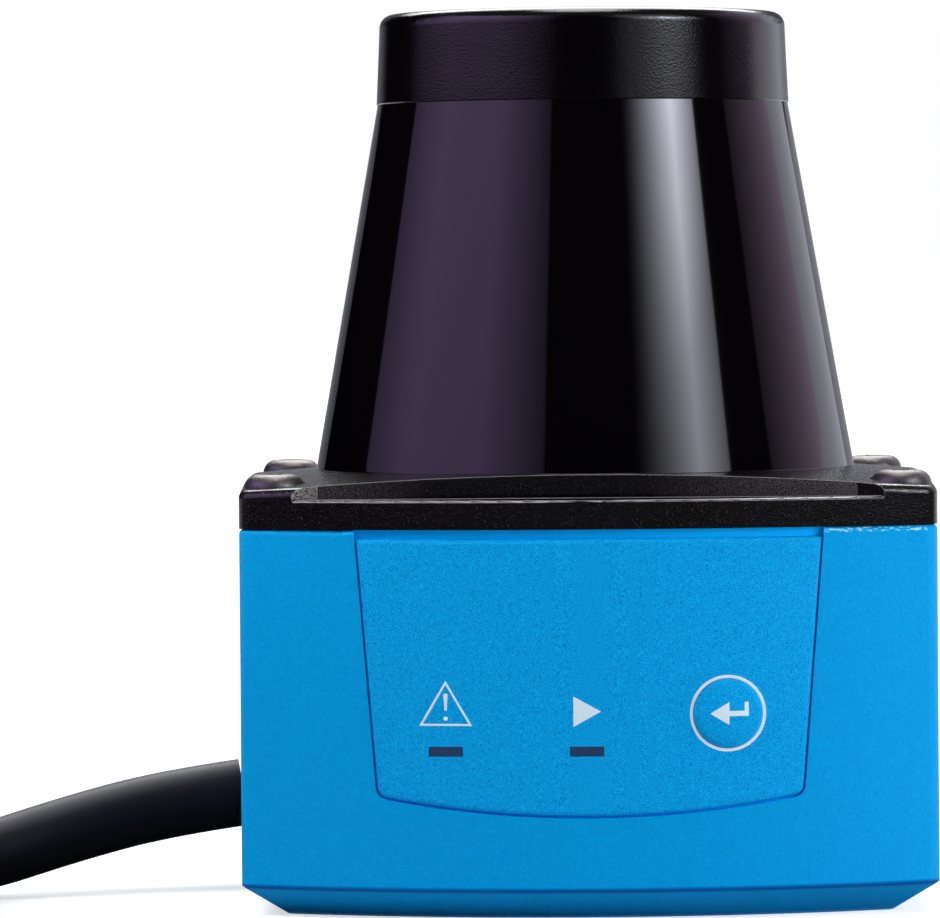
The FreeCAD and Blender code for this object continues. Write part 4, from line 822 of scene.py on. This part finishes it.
# Studio: a pale floor that runs out to white, a white surround, and soft lamps. A dark table and dark
# and pale screens round the object show only in its reflections.
scene.view_settings.view_transform = "Standard"
AMBIENT = 0.28
world = bpy.data.worlds.new("surround")
world.use_nodes = True
scene.world = world


def shown_rays(tree):
    """1 for rays from the camera and for mirrored or refracted ones, 0 for those that only light."""
    rays = tree.nodes.new("ShaderNodeLightPath").outputs
    direct_or_mirrored = reckon(tree, "MAXIMUM", rays["Is Camera Ray"], rays["Is Glossy Ray"])
    return reckon(tree, "MAXIMUM", direct_or_mirrored, rays["Is Transmission Ray"])


tree = world.node_tree
background = tree.nodes["Background"]
background.inputs["Color"].default_value = (1, 1, 1, 1)
tree.links.new(ramp(tree, shown_rays(tree), low=AMBIENT, high=1.0), background.inputs["Strength"])


def level_sheet(name, reach, back, lift):
    """Flat sheet under the object, that reaches as far to the front as to the sides."""
    mesh = bpy.data.meshes.new(name)
    corners = [(-reach, -reach, lift), (reach, -reach, lift), (reach, back, lift), (-reach, back, lift)]
    mesh.from_pydata(corners, [], [(0, 1, 2, 3)])
    made = bpy.data.objects.new(name, mesh)
    scene.collection.objects.link(made)
    return made


FLOOR_REACH = 4.0
FLOOR_GREY = (0.68, 0.68, 0.68)
SHADOW_NEAR = 0.10
SHADOW_FAR = 0.40
floor = level_sheet("floor", reach=FLOOR_REACH, back=FLOOR_REACH, lift=0)
floor_white = bpy.data.materials.new("floor_white")
floor_white.use_nodes = True
tree = floor_white.node_tree
shader = tree.nodes["Principled BSDF"]
shader.inputs["Base Color"].default_value = (*FLOOR_GREY, 1)
shader.inputs["Roughness"].default_value = 0.9
shader.inputs["Specular IOR Level"].default_value = 0.0
shader.inputs["Emission Color"].default_value = (1, 1, 1, 1)
away = reach_from(tree, tree.nodes.new("ShaderNodeTexCoord").outputs["Object"], 0)
fade = ramp(tree, away, SHADOW_NEAR, SHADOW_FAR, low=0.6, high=1.0, ease="SMOOTHSTEP")
tree.links.new(reckon(tree, "MULTIPLY", fade, shown_rays(tree)), shader.inputs["Emission Strength"])
floor.data.materials.append(floor_white)


def only_mirrored(made):
    """Mark a thing as studio gear that shows in reflections and nowhere else."""
    for kind in ("camera", "diffuse", "transmission", "volume_scatter", "shadow"):
        setattr(made, f"visible_{kind}", False)


dark_table = level_sheet("dark_table", reach=0.5, back=0.1, lift=0.2 * mm)
only_mirrored(dark_table)
table_black = bpy.data.materials.new("table_black")
table_black.use_nodes = True
shader = table_black.node_tree.nodes["Principled BSDF"]
shader.inputs["Base Color"].default_value = (0.01, 0.01, 0.01, 1)
shader.inputs["Specular IOR Level"].default_value = 0
dark_table.data.materials.append(table_black)
MIDDLE = Vector((0, 0, 0.045))


def toward(azimuth, elevation):
    """Way from the object to a place round it: azimuth 0 is the front, 90 the right, in degrees."""
    around, up = radians(azimuth), radians(elevation)
    return Vector((sin(around) * cos(up), -cos(around) * cos(up), sin(up)))


def lamp(name, size, power, azimuth, elevation, distance):
    """Soft square lamp that faces the object. It lights it and isn't mirrored in it."""
    light = bpy.data.lights.new(name, "AREA")
    light.shape = "SQUARE"
    light.size = size
    light.energy = power
    made = bpy.data.objects.new(name, light)
    way = toward(azimuth, elevation)
    made.location = MIDDLE + way * distance
    made.rotation_euler = way.to_track_quat("Z", "Y").to_euler()
    made.visible_camera = False
    made.visible_glossy = False
    scene.collection.objects.link(made)


lamp("key", size=0.3, power=1.9, azimuth=64, elevation=15, distance=0.45)
lamp("fill", size=0.08, power=0.215, azimuth=-62, elevation=32, distance=0.155)
lamp("back", size=0.3, power=1.2, azimuth=165, elevation=45, distance=0.5)
SCREEN_COLUMNS = 24
SCREEN_ROWS = 8
SCREEN_DISTANCE = 0.7


def screen(name, azimuths, elevations, glow, rise=(1, 1), bend=1, tint=(1, 1, 1)):
    """Curved screen round the object, seen only in reflections. It glows from end to end, and up."""
    shape = bmesh.new()
    sheet = shape.loops.layers.uv.new("across_and_up")
    grid = []
    for i in range(SCREEN_COLUMNS + 1):
        azimuth = azimuths[0] + (azimuths[1] - azimuths[0]) * i / SCREEN_COLUMNS
        column = []
        for j in range(SCREEN_ROWS + 1):
            elevation = elevations[0] + (elevations[1] - elevations[0]) * j / SCREEN_ROWS
            column.append(shape.verts.new(MIDDLE + toward(azimuth, elevation) * SCREEN_DISTANCE))
        grid.append(column)
    for i in range(SCREEN_COLUMNS):
        for j in range(SCREEN_ROWS):
            corners = ((i, j), (i + 1, j), (i + 1, j + 1), (i, j + 1))
            face = shape.faces.new([grid[across][up] for across, up in corners])
            for loop, (across, up) in zip(face.loops, corners):
                loop[sheet].uv = (across / SCREEN_COLUMNS, up / SCREEN_ROWS)
    mesh = bpy.data.meshes.new(name)
    shape.to_mesh(mesh)
    shape.free()
    made = bpy.data.objects.new(name, mesh)
    scene.collection.objects.link(made)
    only_mirrored(made)
    surface = bpy.data.materials.new(name)
    surface.use_nodes = True
    tree = surface.node_tree
    tree.nodes.remove(tree.nodes["Principled BSDF"])
    light = tree.nodes.new("ShaderNodeEmission")
    light.inputs["Color"].default_value = (*tint, 1)
    place = tree.nodes.new("ShaderNodeUVMap")
    split = tree.nodes.new("ShaderNodeSeparateXYZ")
    tree.links.new(place.outputs["UV"], split.inputs["Vector"])
    along = ramp(tree, reckon(tree, "POWER", split.outputs["X"], bend), low=glow[0], high=glow[1])
    upward = ramp(tree, split.outputs["Y"], low=rise[0], high=rise[1])
    tree.links.new(reckon(tree, "MULTIPLY", along, upward), light.inputs["Strength"])
    tree.links.new(light.outputs["Emission"], tree.nodes["Material Output"].inputs["Surface"])
    mesh.materials.append(surface)


COOL = (0.76, 0.55, 1.08)
CRISP = (0.96, 0.98, 1.14)
VIOLET = (1.0, 0.74, 1.08)
LOW = (-8, 7)
SIDE = (7, 45)
BACK = (150, 210)
FRONT_AND_SIDES = (-150, 150)
screen("dark_low", (-150, 110), LOW, (0, 0))
for name, azimuths in (("dark_left", (-158, -108)), ("dark_front", (-18, 20)), ("dark_right", (64, 86))):
    screen(name, azimuths, SIDE, (0, 0))
for name, azimuths, glow in (
    ("dim_left", (-108, -82), (0.4, 1.16)),
    ("pale_left", (-82, -48), (1.16, 1.07)),
    ("fading_left", (-48, -18), (1.07, 0.2)),
):
    screen(name, azimuths, SIDE, glow, rise=(0.8, 2.0), tint=COOL)
for level, elevations, rise in (("low", (10, 17), (0.25, 0.6)), ("high", (17, 27), (0.6, 3.0))):
    screen(f"bright_right_{level}", (20, 50), elevations, (0, 9.2), rise=rise, bend=2.2, tint=CRISP)
    screen(f"bright_edge_{level}", (50, 64), elevations, (9.2, 2.8), rise=rise, tint=CRISP)
screen("dim_right", (86, 125), SIDE, (0.15, 1.0), tint=VIOLET)
screen("pale_right", (125, 150), (-8, 45), (1.0, 1.0), tint=CRISP)
screen("dark_top", FRONT_AND_SIDES, (45, 78), (0.1, 0.1))
screen("bright_zenith", FRONT_AND_SIDES, (78, 90), (7, 7))
screen("dim_edge", BACK, LOW, (0.42, 0.14), tint=CRISP)
screen("dim_back", BACK, (7, 30), (0.13, 0.13), tint=CRISP)
screen("bright_back", BACK, (30, 90), (7, 7))


# Camera: stands straight in front, a little above the middle, with a long lens. Its lens and aim are
# given in pixels of the photograph's frame.
EYE = Vector((-6.15, -620, 55.2)) * mm
FOCAL_PIXELS = 6966
FRAME_WIDTH = 940
FRAME_MIDDLE = (470, 459)
LEVEL_POINT = (516, 272)
ROLL = radians(-0.45)
view = bpy.data.cameras.new("view")
view.sensor_width = 36
view.lens = FOCAL_PIXELS * view.sensor_width / FRAME_WIDTH
view.clip_start = 0.05
view.clip_end = 20
camera = bpy.data.objects.new("camera", view)
scene.collection.objects.link(camera)
aim = Vector((FRAME_MIDDLE[0] - LEVEL_POINT[0], FOCAL_PIXELS, LEVEL_POINT[1] - FRAME_MIDDLE[1]))
turn_to_aim = aim.to_track_quat("-Z", "Y").to_matrix().to_4x4()
camera.matrix_world = Matrix.Translation(EYE) @ turn_to_aim @ Matrix.Rotation(ROLL, 4, "Z")
scene.camera = camera
